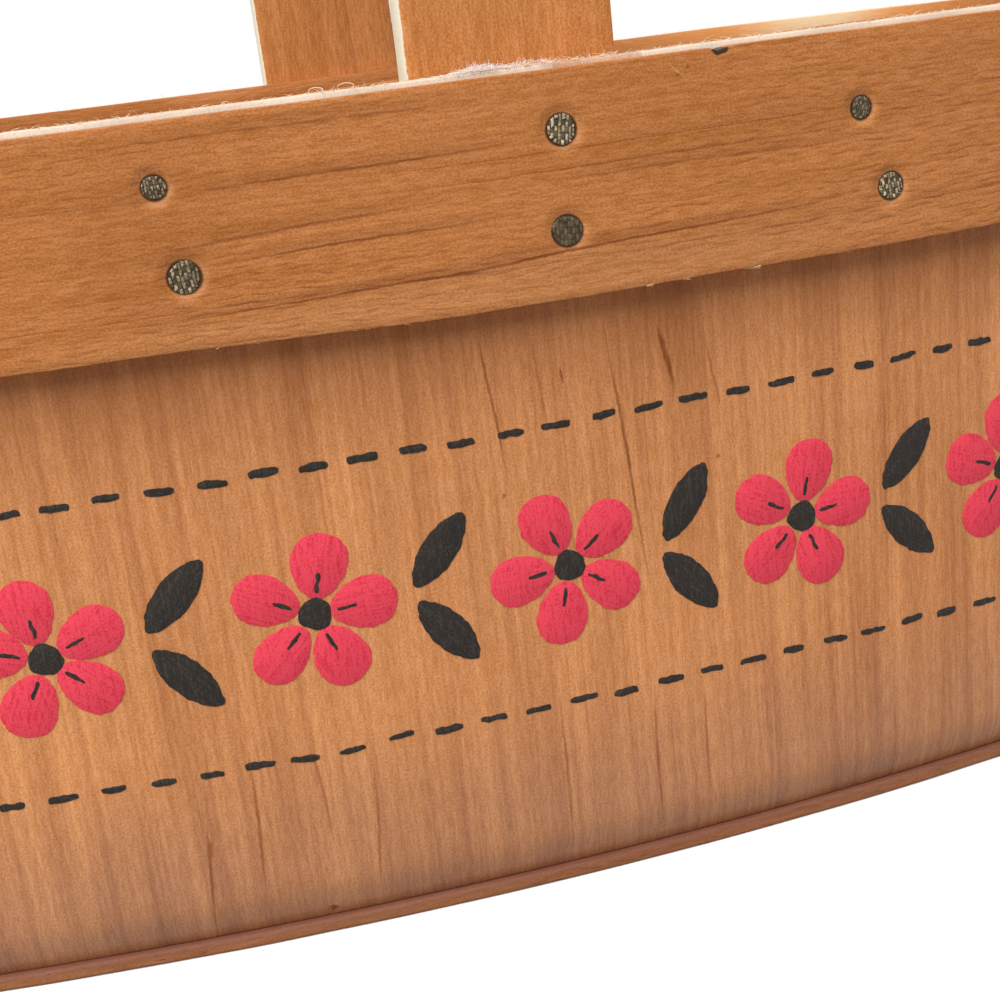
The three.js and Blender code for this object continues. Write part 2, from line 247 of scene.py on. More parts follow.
# %% Bench tools
EDGE_ANGLE = math.radians(50)


def edit(piece):
    bpy.context.view_layer.objects.active = piece
    bpy.ops.object.mode_set(mode="EDIT")


def leave_edit():
    bpy.ops.object.mode_set(mode="OBJECT")


def select_only(*pieces):
    bpy.ops.object.select_all(action="DESELECT")
    for piece in pieces:
        piece.select_set(True)
        bpy.context.view_layer.objects.active = piece


def extrude_up(height):
    bpy.ops.mesh.extrude_region_move(TRANSFORM_OT_translate={"value": (0, 0, height)})


def faces_outward():
    bpy.ops.mesh.select_all(action="SELECT")
    bpy.ops.mesh.normals_make_consistent(inside=False)


def strip_on_bench(name, length, width, thickness, cells):
    select_only()
    bpy.ops.mesh.primitive_grid_add(x_subdivisions=cells[0], y_subdivisions=cells[1], size=1)
    strip = bpy.context.object
    strip.name = name
    edit(strip)
    bpy.ops.transform.resize(value=(length, width, 1), center_override=(0, 0, 0))
    bpy.ops.transform.translate(value=(length / 2, width / 2, 0))
    extrude_up(-thickness)
    faces_outward()
    leave_edit()
    return strip


def ease_edges(piece, width, segments=2):
    bevel = piece.modifiers.new("eased edges", "BEVEL")
    bevel.width = width
    bevel.segments = segments
    bevel.limit_method = "ANGLE"
    bevel.angle_limit = EDGE_ANGLE
    bpy.context.view_layer.objects.active = piece
    bpy.ops.object.modifier_apply(modifier=bevel.name)


print("bench ready, edges sharper than 50 degrees are eased")

# %% [markdown]
# From here on a strip is shaped by moving its points, all of them at once as an array. Before any strip
# is bent, its flat place is kept in an attribute named stock, with the grain along its X. The wood's
# pattern reads that attribute, so the grain follows every bend as it does in real bent wood.

# %% Points and what they keep
def points_of(piece):
    flat = np.empty(len(piece.data.vertices) * 3)
    piece.data.vertices.foreach_get("co", flat)
    return flat.reshape(-1, 3)


def put_points(piece, points):
    piece.data.vertices.foreach_set("co", np.ascontiguousarray(points, dtype=np.float64).ravel())
    piece.data.update()


def keep(piece, name, values):
    """Keeps a number or a vector for every point of a piece, under a name that its material reads."""
    values = np.ascontiguousarray(values, dtype=np.float64)
    kind, field = ("FLOAT", "value") if values.ndim == 1 else ("FLOAT_VECTOR", "vector")
    kept_values = piece.data.attributes.new(name, kind, "POINT")
    kept_values.data.foreach_set(field, values.ravel())


def smooth(share):
    share = np.clip(share, 0, 1)
    return share * share * (3 - 2 * share)


def drift(places, size, seed):
    """Slow noise from -1 to 1 at each place, with waves of about the given size."""
    return np.array([noise.noise((place / size, seed, 0.5)) for place in places])


print("half way through a smooth step is", smooth(0.5))

# %% [markdown]
# A strip that closes on itself laps, so its start and its end are pared on the bench, each to a
# feather. Bending then takes its points round the plan. Last, a piece is shaded, rides with the basket,
# and takes the place of its CAD nodes.

# %% Paring, bending and finishing
FEATHER = 0.7 * MM


def pare_ends(points, lap, thickness):
    along = points[:, 0]
    outer = np.zeros(len(points))
    inner = np.full(len(points), -thickness)
    start = along < lap + GAP
    outer[start] = np.interp(along[start] / lap, (0, 1), (FEATHER - thickness, -FEATHER - GAP))
    cover = along - PLAN_LENGTH
    finish = cover > -GAP
    inner[finish] = np.interp(cover[finish] / lap, (0, 1), (FEATHER - thickness + GAP, -FEATHER))
    points[:, 2] = inner + (outer - inner) * (points[:, 2] + thickness) / thickness
    return points


def bend_round(piece, points, start, foot, face):
    """Bends bench points round the plan, with the outer face as far outside the wall's plan as face says."""
    height = foot + points[:, 1]
    put_points(piece, round_plan(start + points[:, 0], face + points[:, 2] + lean_at(height), height))


def finish_piece(piece, slot, *nodes, angle=32):
    """Shades a piece, lets it ride with the basket, and puts it in the place of its CAD nodes."""
    select_only(piece)
    bpy.ops.object.shade_smooth_by_angle(angle=math.radians(angle))
    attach(piece, "root")
    if nodes:
        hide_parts(*nodes)
    print(piece.name, len(piece.data.polygons), "faces")


print("ends are pared to", FEATHER / MM, "mm")

# %% [markdown]
# ## Where the nails meet the outer strip
# Nails from one box still differ: their heads come out larger or smaller, and the hammer rubs some
# bright. Each nail gets a size and a wear, given one by one for the heads on the front and thrown with a
# seed for the rest. The strip has to know them before it is bent, because the wood round every head is
# crushed.

# %% Nail heads on the bench
OUTER_LAP = 44 * MM
OUTER_START = 6 * NAIL_PITCH - OUTER_LAP / 2
HEAD_RADIUS = 2.5 * MM
HEAD_SIZES = (0.78, 0.97)
HEAD_WEAR = (0.3, 1.0)
HEADS_IN_VIEW = {
    "rim_nail_06_upper": (0.69, 0.55),
    "rim_nail_06_lower": (0.97, 0.65),
    "rim_nail_08_upper": (0.7, 0.4),
    "handle_nail_front_upper": (0.91, 1.0),
    "handle_nail_front_lower": (0.94, 0.15),
}
FAR_FROM_NAILS = 8 * MM

size_dice = random.Random(17)
for nail in NAILS:
    chance = (size_dice.uniform(*HEAD_SIZES), size_dice.uniform(*HEAD_WEAR))
    share, nail["worn"] = HEADS_IN_VIEW.get(nail["name"], chance)
    nail["radius"] = HEAD_RADIUS * share


def bench_place(nail):
    along = (nail["along"] - OUTER_START) % PLAN_LENGTH
    if along < OUTER_LAP:
        along += PLAN_LENGTH
    return along, nail["height"] - OUTER_FOOT


def beside_nails(points):
    """How far bench points lie outside the nearest nail head, and how much to its lower right."""
    outside = np.full(len(points), FAR_FROM_NAILS)
    lower_right = np.zeros(len(points))
    for nail in NAILS:
        along, across = bench_place(nail)
        run = points[:, 0] - along
        rise = points[:, 1] - across
        reach = np.hypot(run, rise)
        nearer = reach - nail["radius"] < outside
        outside = np.where(nearer, reach - nail["radius"], outside)
        lower_right = np.where(nearer, (run - rise) / (math.sqrt(2) * np.maximum(reach, MM)), lower_right)
    return outside, lower_right


print("head radii from", round(min(nail["radius"] for nail in NAILS) / MM, 2), "mm")

# %% [markdown]
# Each nail was driven a little below the face, and the hammer crushed the wood beside the head. The
# faces near the nails are subdivided on the bench, and their points are then pressed in to a shallow
# dish, on whose floor the head sits. A bump in the material would look flat from the side.

# %% Seats for the nails
CRUSH_WIDTH = 2.1 * MM
CRUSH_DEPTH = 0.45 * MM
CRUSH_LEAD = 0.1 * MM
SEAT_REACH = 2.9 * MM
SEAT_CUTS = 3
ON_FACE = 0.1 * MM
NEAR_FACE = 0.6 * MM


def subdivide_near_nails(piece):
    centres = np.empty(len(piece.data.polygons) * 3)
    piece.data.polygons.foreach_get("center", centres)
    centres = centres.reshape(-1, 3)
    near = (beside_nails(centres)[0] < SEAT_REACH) & (centres[:, 2] > -ON_FACE)
    edit(piece)
    bpy.ops.mesh.select_all(action="DESELECT")
    bpy.ops.mesh.select_mode(type="FACE")
    leave_edit()
    piece.data.polygons.foreach_set("select", near)
    edit(piece)
    bpy.ops.mesh.subdivide(number_cuts=SEAT_CUTS)
    leave_edit()


def press_nail_seats(points, outside):
    face = points[:, 2] > -NEAR_FACE
    press = CRUSH_DEPTH * (1 - smooth((outside + CRUSH_LEAD) / CRUSH_WIDTH))
    points[face, 2] -= press[face]
    return points


print("seats are", CRUSH_DEPTH / MM, "mm deep")

# %% [markdown]
# ## The outer strip
# The broad strip round the rim has a level grain. Its edges were sawn by eye: they waver, the lower
# edge was cut a millimetre high on the left of the front, the top stands a hair higher right of the
# handle, and a chip is out of it there. Moving bench points is the simplest way to all of these,
# because on the bench each edge is a straight line.

# %% Outer strip
OUTER_CELLS = (560, 24)
OUTER_EASE = 0.24 * MM
OUTER_WAVER = 0.22 * MM
EDGE_ZONE = 3 * MM
LONG_WAVES = 17 * MM
SHORT_WAVES = 2.3 * MM
SHORT_SHARE = 0.45
TOP_WAVES = 23 * MM
HIGH_CUT_ALONG = (-150 * MM, -105 * MM, -62 * MM, -20 * MM, 0)
HIGH_CUT = (0, 1.25 * MM, 1.25 * MM, 0, 0)
HIGH_CUT_ZONE = 12 * MM
RAISED_AT = 28 * MM
RAISED_WIDTH = 24 * MM
RAISED_BY = 0.28 * MM
CHIP_AT = 31.7 * MM
CHIP_WIDTH = 1.2 * MM
CHIP_DEPTH = 0.55 * MM


def waver_edges(points, width, seed, amount):
    low = 1 - smooth(points[:, 1] / EDGE_ZONE)
    high = 1 - smooth((width - points[:, 1]) / EDGE_ZONE)
    slow = drift(points[:, 0], LONG_WAVES, seed) + SHORT_SHARE * drift(points[:, 0], SHORT_WAVES, seed + 3)
    other = drift(points[:, 0], TOP_WAVES, seed + 7)
    points[:, 1] += amount * (low * slow + high * other)
    return points


def high_cut(along):
    """How far above its usual place the strip's lower edge was cut, at a distance along the plan."""
    return np.interp(from_front(along), HIGH_CUT_ALONG, HIGH_CUT)


def raise_and_chip(points):
    place = from_front(OUTER_START + points[:, 0])
    low = 1 - smooth(points[:, 1] / HIGH_CUT_ZONE)
    points[:, 1] += low * high_cut(place)
    high = 1 - smooth((OUTER_HEIGHT - points[:, 1]) / EDGE_ZONE)
    points[:, 1] += high * RAISED_BY * np.exp(-((place - RAISED_AT) / RAISED_WIDTH) ** 2)
    points[:, 1] -= high * CHIP_DEPTH * np.exp(-((place - CHIP_AT) / CHIP_WIDTH) ** 4)
    return points


def make_outer_strip():
    length = PLAN_LENGTH + OUTER_LAP
    strip = strip_on_bench("outer_strip", length, OUTER_HEIGHT, OUTER_THICKNESS, OUTER_CELLS)
    ease_edges(strip, OUTER_EASE)
    subdivide_near_nails(strip)
    points = points_of(strip)
    keep(strip, "stock", points * (1, -1, 1) + (0, OUTER_HEIGHT, 0))
    outside, lower_right = beside_nails(points)
    keep(strip, "past_head", outside / MM)
    keep(strip, "lower_right", lower_right)
    points = press_nail_seats(points, outside)
    points = waver_edges(points, OUTER_HEIGHT, seed=11.3, amount=OUTER_WAVER)
    points = raise_and_chip(points)
    points = pare_ends(points, OUTER_LAP, OUTER_THICKNESS)
    bend_round(strip, points, OUTER_START, OUTER_FOOT, OUTER_FACE)
    return strip


outer_strip = make_outer_strip()
finish_piece(outer_strip, "rim_wood", "outer_rim_band")

# %% [markdown]
# ## The inner strip
# A thinner strip lines the rim inside. At the two middles it has to climb over the handle's legs, so
# its face moves inwards there and eases back to the wall on both sides, as a springy strip does. Each
# strip was cut from another place in the log, so its stock starts elsewhere and no two show the same
# grain.

# %% Inner strip
HANDLE_WIDTH = 33.8 * MM
HANDLE_THICKNESS = 7 * MM
LEG_LEAD = 1.5 * MM
LEG_EASE = 26 * MM
INNER_LAP = 40 * MM
INNER_START = -5 * NAIL_PITCH - INNER_LAP / 2
INNER_SEAT = WALL_THICKNESS + GAP
INNER_CELLS = (440, 14)
INNER_EASE = 0.3 * MM
INNER_WAVER = 0.2 * MM
INNER_LOG = (2.0, 0.3, 0.1)

inner_bow = SIDE_BOW - WALL_THICKNESS
BOW_ACROSS_LEG = inner_bow - math.sqrt(inner_bow ** 2 - (HANDLE_WIDTH / 2) ** 2)
LEG_FACE = WALL_THICKNESS + BOW_ACROSS_LEG + GAP
LEG_LIFT = LEG_FACE + HANDLE_THICKNESS / math.cos(WALL_TILT) + GAP - INNER_SEAT


def inner_face(along):
    away = np.abs(from_front(along))
    from_leg = np.minimum(away, PLAN_LENGTH / 2 - away)
    on_leg = 1 - smooth((from_leg - HANDLE_WIDTH / 2 - LEG_LEAD) / LEG_EASE)
    return -(INNER_SEAT + LEG_LIFT * on_leg)


def make_inner_strip():
    length = PLAN_LENGTH + INNER_LAP
    strip = strip_on_bench("inner_strip", length, INNER_HEIGHT, INNER_THICKNESS, INNER_CELLS)
    ease_edges(strip, INNER_EASE)
    points = points_of(strip)
    keep(strip, "stock", points * (1, -1, 1) + (0, INNER_HEIGHT, 0) + np.array(INNER_LOG))
    points = waver_edges(points, INNER_HEIGHT, seed=4.1, amount=INNER_WAVER)
    points = pare_ends(points, INNER_LAP, INNER_THICKNESS)
    bend_round(strip, points, INNER_START, INNER_FOOT, inner_face(INNER_START + points[:, 0]))
    return strip


inner_strip = make_inner_strip()
finish_piece(inner_strip, "rim_wood", "inner_rim_band")

# %% [markdown]
# ## The wall
# The wall is one thin sheet with its grain upright. It is a strip like the others, only broad, so the
# same tools make it. Thin wood is never quite flat, so the sheet gets a slow swell of a fraction of a
# millimetre, which fades out where the rim strips clamp it. Its top edge was sanded back a little where
# it stands above the outer strip, so a bisect gives the sheet a row of points there and the face slopes
# in above it.

# %% Wall
WALL_LAP = 30 * MM
WALL_START = -4 * NAIL_PITCH - WALL_LAP / 2
WALL_CELLS = (432, 56)
WALL_EASE = 0.25 * MM
WALL_LOG = 5.0
SWELL = 0.22 * MM
SWELL_WAVES = np.array((14, 14, 9))
SWELL_UNDER_RIM = 20 * MM
SWELL_ABOVE_FOOT = 14 * MM
SANDED = 1.15 * MM
SANDED_BACK = 0.38 * MM
TOP_ZONE = 2 * MM
TOP_ROUGH = 0.1 * MM
TOP_ROUGH_WAVES = 1.7 * MM
TOP_DROP = 0.05 * MM
FOOT_DROP = GAP - 0.02 * MM


def wall_swell(along, height):
    places = round_plan(along, 0, height) * SWELL_WAVES
    waves = np.array([noise.noise(place) for place in places])
    free = smooth((OUTER_FOOT - height) / SWELL_UNDER_RIM) * smooth((height - WALL_FOOT) / SWELL_ABOVE_FOOT)
    return SWELL * waves * free


def on_wall(along, height, lift):
    """Points on the wall's outer face, lifted off it."""
    return round_plan(along, lean_at(height) + wall_swell(along, height) + lift, height)


def wall_stock(across, along):
    """The stock place of points on the wall's bench: its grain runs up the wall."""
    return np.column_stack((WALL_LOG + across, along))


def cut_across(piece, place):
    """A row of points across the bench strip, at a place in its width."""
    edit(piece)
    bpy.ops.mesh.select_all(action="SELECT")
    bpy.ops.mesh.bisect(plane_co=(0, place, 0), plane_no=(0, 1, 0))
    leave_edit()


def make_wall():
    length = PLAN_LENGTH + WALL_LAP
    sheet = strip_on_bench("bent_wall", length, WALL_HEIGHT, WALL_THICKNESS, WALL_CELLS)
    ease_edges(sheet, WALL_EASE, segments=1)
    cut_across(sheet, WALL_HEIGHT - SANDED)
    points = points_of(sheet)
    keep(sheet, "stock", np.column_stack((wall_stock(points[:, 1], points[:, 0]), points[:, 2])))
    points = pare_ends(points, WALL_LAP, WALL_THICKNESS)
    sanded = np.clip((points[:, 1] - WALL_HEIGHT + SANDED) / SANDED, 0, 1)
    points[:, 2] -= SANDED_BACK * sanded * smooth(1 + points[:, 2] / WALL_THICKNESS)
    top = smooth((points[:, 1] - WALL_HEIGHT + TOP_ZONE) / TOP_ZONE)
    points[:, 1] += top * (TOP_ROUGH * drift(points[:, 0], TOP_ROUGH_WAVES, seed=8.8) - TOP_DROP)
    points[:, 1] -= FOOT_DROP * (1 - smooth(points[:, 1] / EDGE_ZONE))
    put_points(sheet, on_wall(WALL_START + points[:, 0], WALL_FOOT + points[:, 1], points[:, 2]))
    return sheet


bent_wall = make_wall()
finish_piece(bent_wall, "wall_wood", "wall_sheet")

# %% [markdown]
# ## The handle
# The handle is a thicker strip, straight where it runs down inside the wall and a round arch above. The
# bench strip is laid along that path: up the front leg, over the arch and down the back leg.

# %% Handle
HANDLE_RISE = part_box("handle_hoop")[1].z - WALL_TOP
HANDLE_TOE = WALL_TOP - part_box("handle_hoop")[0].z
HANDLE_CELLS = (230, 16)
HANDLE_EASE = 0.4 * MM
HANDLE_LOG = (9.0, 0, 0)


def make_handle():
    sine = math.sin(WALL_TILT)
    cosine = math.cos(WALL_TILT)
    face_at_rim = HALF_WIDTH - LEG_FACE
    arch = (face_at_rim * cosine + HANDLE_RISE * sine) / (1 + sine)
    arch_centre = WALL_TOP + HANDLE_RISE - arch
    toe_out = face_at_rim - HANDLE_TOE * sine / cosine
    toe_height = WALL_TOP - HANDLE_TOE
    leg = math.hypot(arch * cosine - toe_out, arch_centre - arch * sine - toe_height)
    over = arch * (math.pi + 2 * WALL_TILT)
    length = 2 * leg + over

    strip = strip_on_bench("hoop_strip", length, HANDLE_WIDTH, HANDLE_THICKNESS, HANDLE_CELLS)
    ease_edges(strip, HANDLE_EASE)
    points = points_of(strip)
    keep(strip, "stock", points + np.array(HANDLE_LOG))

    travel = points[:, 0]
    from_toe = np.minimum(travel, length - travel)
    side = np.where(travel < length / 2, -1.0, 1.0)
    out = toe_out + sine * from_toe + cosine * points[:, 2]
    height = toe_height + cosine * from_toe - sine * points[:, 2]
    turn = (travel - leg) / arch - WALL_TILT
    arched = from_toe > leg
    reach = arch + points[:, 2]
    y = np.where(arched, -reach * np.cos(turn), side * out)
    z = np.where(arched, arch_centre + reach * np.sin(turn), height)
    put_points(strip, np.column_stack((points[:, 1] - HANDLE_WIDTH / 2, y, z)))
    return strip


hoop_strip = make_handle()
finish_piece(hoop_strip, "handle_wood", "handle_hoop")

# %% [markdown]
# ## The bottom board
# The board has a thin lip that shows under the wall and a plug that fits inside it. A circle is pulled
# out to the plan, extruded to the lip, inset to the plug, and extruded again. Its sawn edge wavers a
# little.

# %% Bottom board
LIP_HEIGHT = WALL_FOOT - GAP
LIP_PROUD = 1.5 * MM
LIP_BACK = 0.1 * MM
LIP_WAVER = 0.14 * MM
LIP_WAVES = 14 * MM
BOARD_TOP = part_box("base_board")[1].z
BOARD_POINTS = 420
BOARD_EASE = 0.7 * MM
BOARD_LOG = (13.0, 0.4, 0)


def make_bottom_board():
    select_only()
    bpy.ops.mesh.primitive_circle_add(vertices=BOARD_POINTS, radius=HALF_WIDTH, fill_type="NGON")
    board = bpy.context.object
    board.name = "bottom_board"
    along = np.arange(BOARD_POINTS) / BOARD_POINTS * PLAN_LENGTH
    edge = lean_at(WALL_FOOT) + LIP_PROUD - LIP_BACK + LIP_WAVER * drift(along, LIP_WAVES, seed=2.2)
    put_points(board, round_plan(along, edge, 0))
    edit(board)
    faces_outward()
    extrude_up(LIP_HEIGHT)
    bpy.ops.mesh.inset(thickness=LIP_PROUD + WALL_THICKNESS + GAP)
    extrude_up(BOARD_TOP - LIP_HEIGHT)
    faces_outward()
    leave_edit()
    ease_edges(board, BOARD_EASE, segments=3)
    keep(board, "stock", points_of(board) + np.array(BOARD_LOG))
    return board


bottom_board = make_bottom_board()
finish_piece(bottom_board, "base_wood", "base_board")

# %% [markdown]
# ## The nail's shank
# The shank and the clenched point of a nail are a bar that follows a few points and tapers, and so are
# the fibres further on. A curve with a round section gives such bars, and it is made a mesh at once.
# The point turns down inside the rim, and the nails through the handle's legs are longer, so there are
# two shanks.

# %% Strands and shanks
SHANK_RADIUS = 0.95 * MM
CLENCH_BEND = 1.4 * MM
CLENCH_TAIL = 4 * MM
CLENCH_STEPS = 4
CLENCH_POINT = ((0.55, 0.1 * MM, 0.7), (1.0, 0.25 * MM, 0.28))
SHANK_IN_HEAD = 0.9 * HEAD_THICKNESS
SHANK_TAPER = 0.03


def strand_mesh(name, strands, resolution=0):
    """A mesh of thin round bars. Each strand is a list of points with a radius."""
    curve = bpy.data.curves.new(name, "CURVE")
    curve.dimensions = "3D"
    curve.bevel_depth = 1.0
    curve.bevel_resolution = resolution
    curve.use_fill_caps = True
    for strand in strands:
        spline = curve.splines.new("POLY")
        spline.points.add(len(strand) - 1)
        for knot, (place, radius) in zip(spline.points, strand):
            knot.co = (*place, 1)
            knot.radius = radius
    bundle = bpy.data.objects.new(name, curve)
    bpy.context.collection.objects.link(bundle)
    select_only(bundle)
    bpy.ops.object.convert(target="MESH")
    return bpy.context.object


def make_nail_shank(name, grip):
    bend = -(grip - HEAD_SINK + GAP + SHANK_RADIUS - CLENCH_BEND)
    strand = [((0, 0, height), SHANK_RADIUS) for height in (-SHANK_IN_HEAD, bend)]
    for step in range(1, CLENCH_STEPS + 1):
        turn = math.pi / 2 * step / CLENCH_STEPS
        place = (0, CLENCH_BEND * (math.cos(turn) - 1), bend - CLENCH_BEND * math.sin(turn))
        strand.append((place, SHANK_RADIUS * (1 - SHANK_TAPER * step)))
    for share, rise, thin in CLENCH_POINT:
        place = (0, -CLENCH_BEND - CLENCH_TAIL * share, bend - CLENCH_BEND + rise)
        strand.append((place, SHANK_RADIUS * thin))
    return strand_mesh(name, [strand], resolution=1)


rim_grip = OUTER_FACE + INNER_SEAT + INNER_THICKNESS
rim_shank = make_nail_shank("rim_shank", rim_grip)
leg_shank = make_nail_shank("leg_shank", rim_grip + LEG_LIFT)
print("nail shank", len(rim_shank.data.polygons), "faces")

# %% [markdown]
# ## The nail's head
# A basket nail has a flat head with a checkered face, which keeps the hammer from slipping. A grid
# whose faces are inset and raised one by one gives the checks, every second one a little lower, and
# bisect cuts trim it round. How high each check stands is kept as an attribute, because the high ones
# are rubbed bright.

# %% Nail head
CHECK_COLUMNS = 8
CHECK_ROWS = 5
CHECK_GROOVE = 0.15 * MM
CHECK_HEIGHT = 0.17 * MM
CHECK_SINK = 0.7 * CHECK_HEIGHT
CHECK_LOW = 0.2
CHECK_STEP = 0.5
CHECK_CHANCE = (-0.2, 0.3)
CHECK_STRAY = (0.05 * MM, 0.11 * MM)
PEAK_LEAST = 0.3
CHECK_STAGGER = 0.24 * MM
CHECK_STAGGER_WAVE = 0.21 * MM
CHECKED_SPAN = 2.1 * HEAD_RADIUS
CHECKED_SHARE = 0.9
HEAD_SIDES = 24
HEAD_SHOULDER = 0.12 * MM
HEAD_FLARE = 1.1


def raise_checks(head):
    dice = random.Random(5)
    chances = np.array([CHECK_LOW + CHECK_STEP * ((column + row) % 2) + dice.uniform(*CHECK_CHANCE)
                        for column in range(CHECK_COLUMNS) for row in range(CHECK_ROWS)])
    points = points_of(head)
    counts = np.array((CHECK_COLUMNS, CHECK_ROWS))
    check = np.clip(((points[:, :2] / CHECKED_SPAN + 0.5) * counts).astype(int), 0, counts - 1)
    chance = chances[check[:, 0] * CHECK_ROWS + check[:, 1]]
    top = points[:, 2] > CHECK_HEIGHT / 2
    points[top, 2] -= CHECK_SINK * (1 - chance[top])
    points[top, :2] += np.array([[dice.gauss(0, stray) for stray in CHECK_STRAY] for _ in range(top.sum())])
    points[:, 1] += CHECK_STAGGER * np.sin(points[:, 0] / CHECK_STAGGER_WAVE)
    put_points(head, points)
    keep(head, "peak", np.where(top, PEAK_LEAST + (1 - PEAK_LEAST) * chance, 0.0))


def make_nail_head():
    select_only()
    bpy.ops.mesh.primitive_grid_add(size=CHECKED_SPAN, x_subdivisions=CHECK_COLUMNS,
                                    y_subdivisions=CHECK_ROWS)
    head = bpy.context.object
    head.name = "nail_head"
    edit(head)
    bpy.ops.mesh.select_all(action="SELECT")
    bpy.ops.mesh.inset(thickness=CHECK_GROOVE, depth=CHECK_HEIGHT, use_individual=True)
    leave_edit()
    raise_checks(head)
    edit(head)
    for side in range(HEAD_SIDES):
        angle = 2 * math.pi * side / HEAD_SIDES
        outward = Vector((math.cos(angle), math.sin(angle), 0))
        bpy.ops.mesh.select_all(action="SELECT")
        trim = outward * HEAD_RADIUS * CHECKED_SHARE
        bpy.ops.mesh.bisect(plane_co=trim, plane_no=outward, clear_outer=True)
    bpy.ops.mesh.select_mode(type="EDGE")
    bpy.ops.mesh.select_all(action="DESELECT")
    bpy.ops.mesh.select_non_manifold(extend=False)
    extrude_up(-HEAD_SHOULDER)
    bpy.ops.transform.resize(value=(HEAD_FLARE, HEAD_FLARE, 1), center_override=(0, 0, 0))
    extrude_up(HEAD_SHOULDER - HEAD_THICKNESS)
    bpy.ops.mesh.edge_face_add()
    faces_outward()
    leave_edit()
    return head


nail_head = make_nail_head()
print("nail head", len(nail_head.data.polygons), "faces")

# %% [markdown]
# Each nail is its own copy and stands square to the leaning wall. No head is quite round, and each is
# turned a little by chance, because nobody lines the checks up, while the clenched point always goes
# down.

# %% Drive the nails
HEAD_OVAL = 0.045
HEAD_THREE_SIDED = 0.03
ANY_TURN = (0, 6)
HEAD_TURN = 0.16
HEAD_TILT = 0.02
HEAD_SQUEEZE = (0.94, 1.02)


def own_copy(piece, name):
    copied = piece.copy()
    copied.data = piece.data.copy()
    copied.name = name
    bpy.context.collection.objects.link(copied)
    return copied


def nail_matrix(nail):
    height = nail["height"]
    heading = arc_at(nail["along"])[3]
    place = round_plan([nail["along"]], OUTER_FACE + lean_at(height), height)[0]
    outside = Vector((math.sin(heading), -math.cos(heading), 0))
    tangent = Vector((math.cos(heading), math.sin(heading), 0))
    lean = Vector((0, 0, 1)) * math.cos(WALL_TILT) + outside * math.sin(WALL_TILT)
    outward = tangent.cross(lean)
    turn = Matrix((tangent, lean, outward)).transposed().to_4x4()
    return Matrix.Translation(Vector(place) - outward * HEAD_SINK) @ turn


def shape_head(head, share, dice):
    points = points_of(head)
    angle = np.arctan2(points[:, 1], points[:, 0])
    oval = HEAD_OVAL * np.cos(2 * angle + dice.uniform(*ANY_TURN))
    oval = oval + HEAD_THREE_SIDED * np.cos(3 * angle + dice.uniform(*ANY_TURN))
    points[:, :2] *= (1 + oval)[:, None]
    put_points(head, points)
    head.data.transform(Matrix.Rotation(dice.choice((0, math.pi)) + dice.gauss(0, HEAD_TURN), 4, "Z"))
    head.data.transform(Matrix.Diagonal((share * dice.uniform(*HEAD_SQUEEZE), share, 1, 1)))
    nod = Matrix.Rotation(dice.gauss(0, HEAD_TILT), 4, "X")
    sway = Matrix.Rotation(dice.gauss(0, HEAD_TILT), 4, "Y")
    head.data.transform(nod @ sway)


def drive_nail(nail, dice):
    driven = own_copy(nail_head, "driven_" + nail["name"])
    shape_head(driven, nail["radius"] / HEAD_RADIUS, dice)
    keep(driven, "worn", np.full(len(driven.data.vertices), nail["worn"]))
    tail = own_copy(leg_shank if nail["name"].startswith("handle") else rim_shank, "tail")
    select_only(tail, driven)
    bpy.ops.object.join()
    driven.data.transform(nail_matrix(nail))
    driven.data.update()
    return driven


nail_dice = random.Random(21)
driven_nails = []
for nail in NAILS:
    driven = drive_nail(nail, nail_dice)
    finish_piece(driven, "nail_steel", nail["name"], angle=50)
    driven_nails.append(driven)
for pattern in (nail_head, rim_shank, leg_shank):
    bpy.data.objects.remove(pattern, do_unlink=True)
print(len(driven_nails), "nails driven")

# %% [markdown]
# ## Fur and curls on the wall's top edge
# The wall's top edge was sawn and never stained, so it is pale, and a fur of short fibres stands on it,
# with two longer curls left of the handle. They are strands with few faces, thrown with a seed. A hair
# system would look softer, but it would not be a mesh.

# %% Fur
FUR_COUNT = 1500
FUR_LENGTHS = (0.5 * MM, 0.7 * MM, 0.9 * MM, 1.2 * MM, 1.9 * MM)
FUR_KNOTS = (0.0, 0.35, 0.7, 1.0)
FUR_ROOT = 0.1 * MM
FUR_DEPTH = (0.3 * MM, 1.4 * MM)
FUR_RADIUS = (0.03 * MM, 0.05 * MM)
FUR_TAPER = 0.8
FUR_STEEP = 1.25
FUR_SLACK = 0.5
# How far a fibre runs along, rises, leans out and bows, in shares of its length.
FUR_SPANS = ((-1.0, 1.0), (0.15, 0.7), (-0.4, 0.7), (-0.5, 0.5))
RIGHT_FUR = (-2 * MM, 16 * MM)
RIGHT_FUR_COUNT = 110
CURL_STEPS = 8
CURL_DEPTH = 0.8 * MM
CURL_PITCH = 0.12 * MM
CURL_FROM = 1.25 * math.pi
CURL_THROUGH = 1.5 * math.pi
CURL_WIDE = 1.1
CURL_LIFT = 0.3
CURL_TALL = 0.45
CURL_RADIUS = (0.05 * MM, 0.07 * MM)
CURLS = ((-31.6 * MM, 1.0 * MM), (-27.0 * MM, 1.15 * MM))
AT_TOP = lean_at(WALL_TOP)


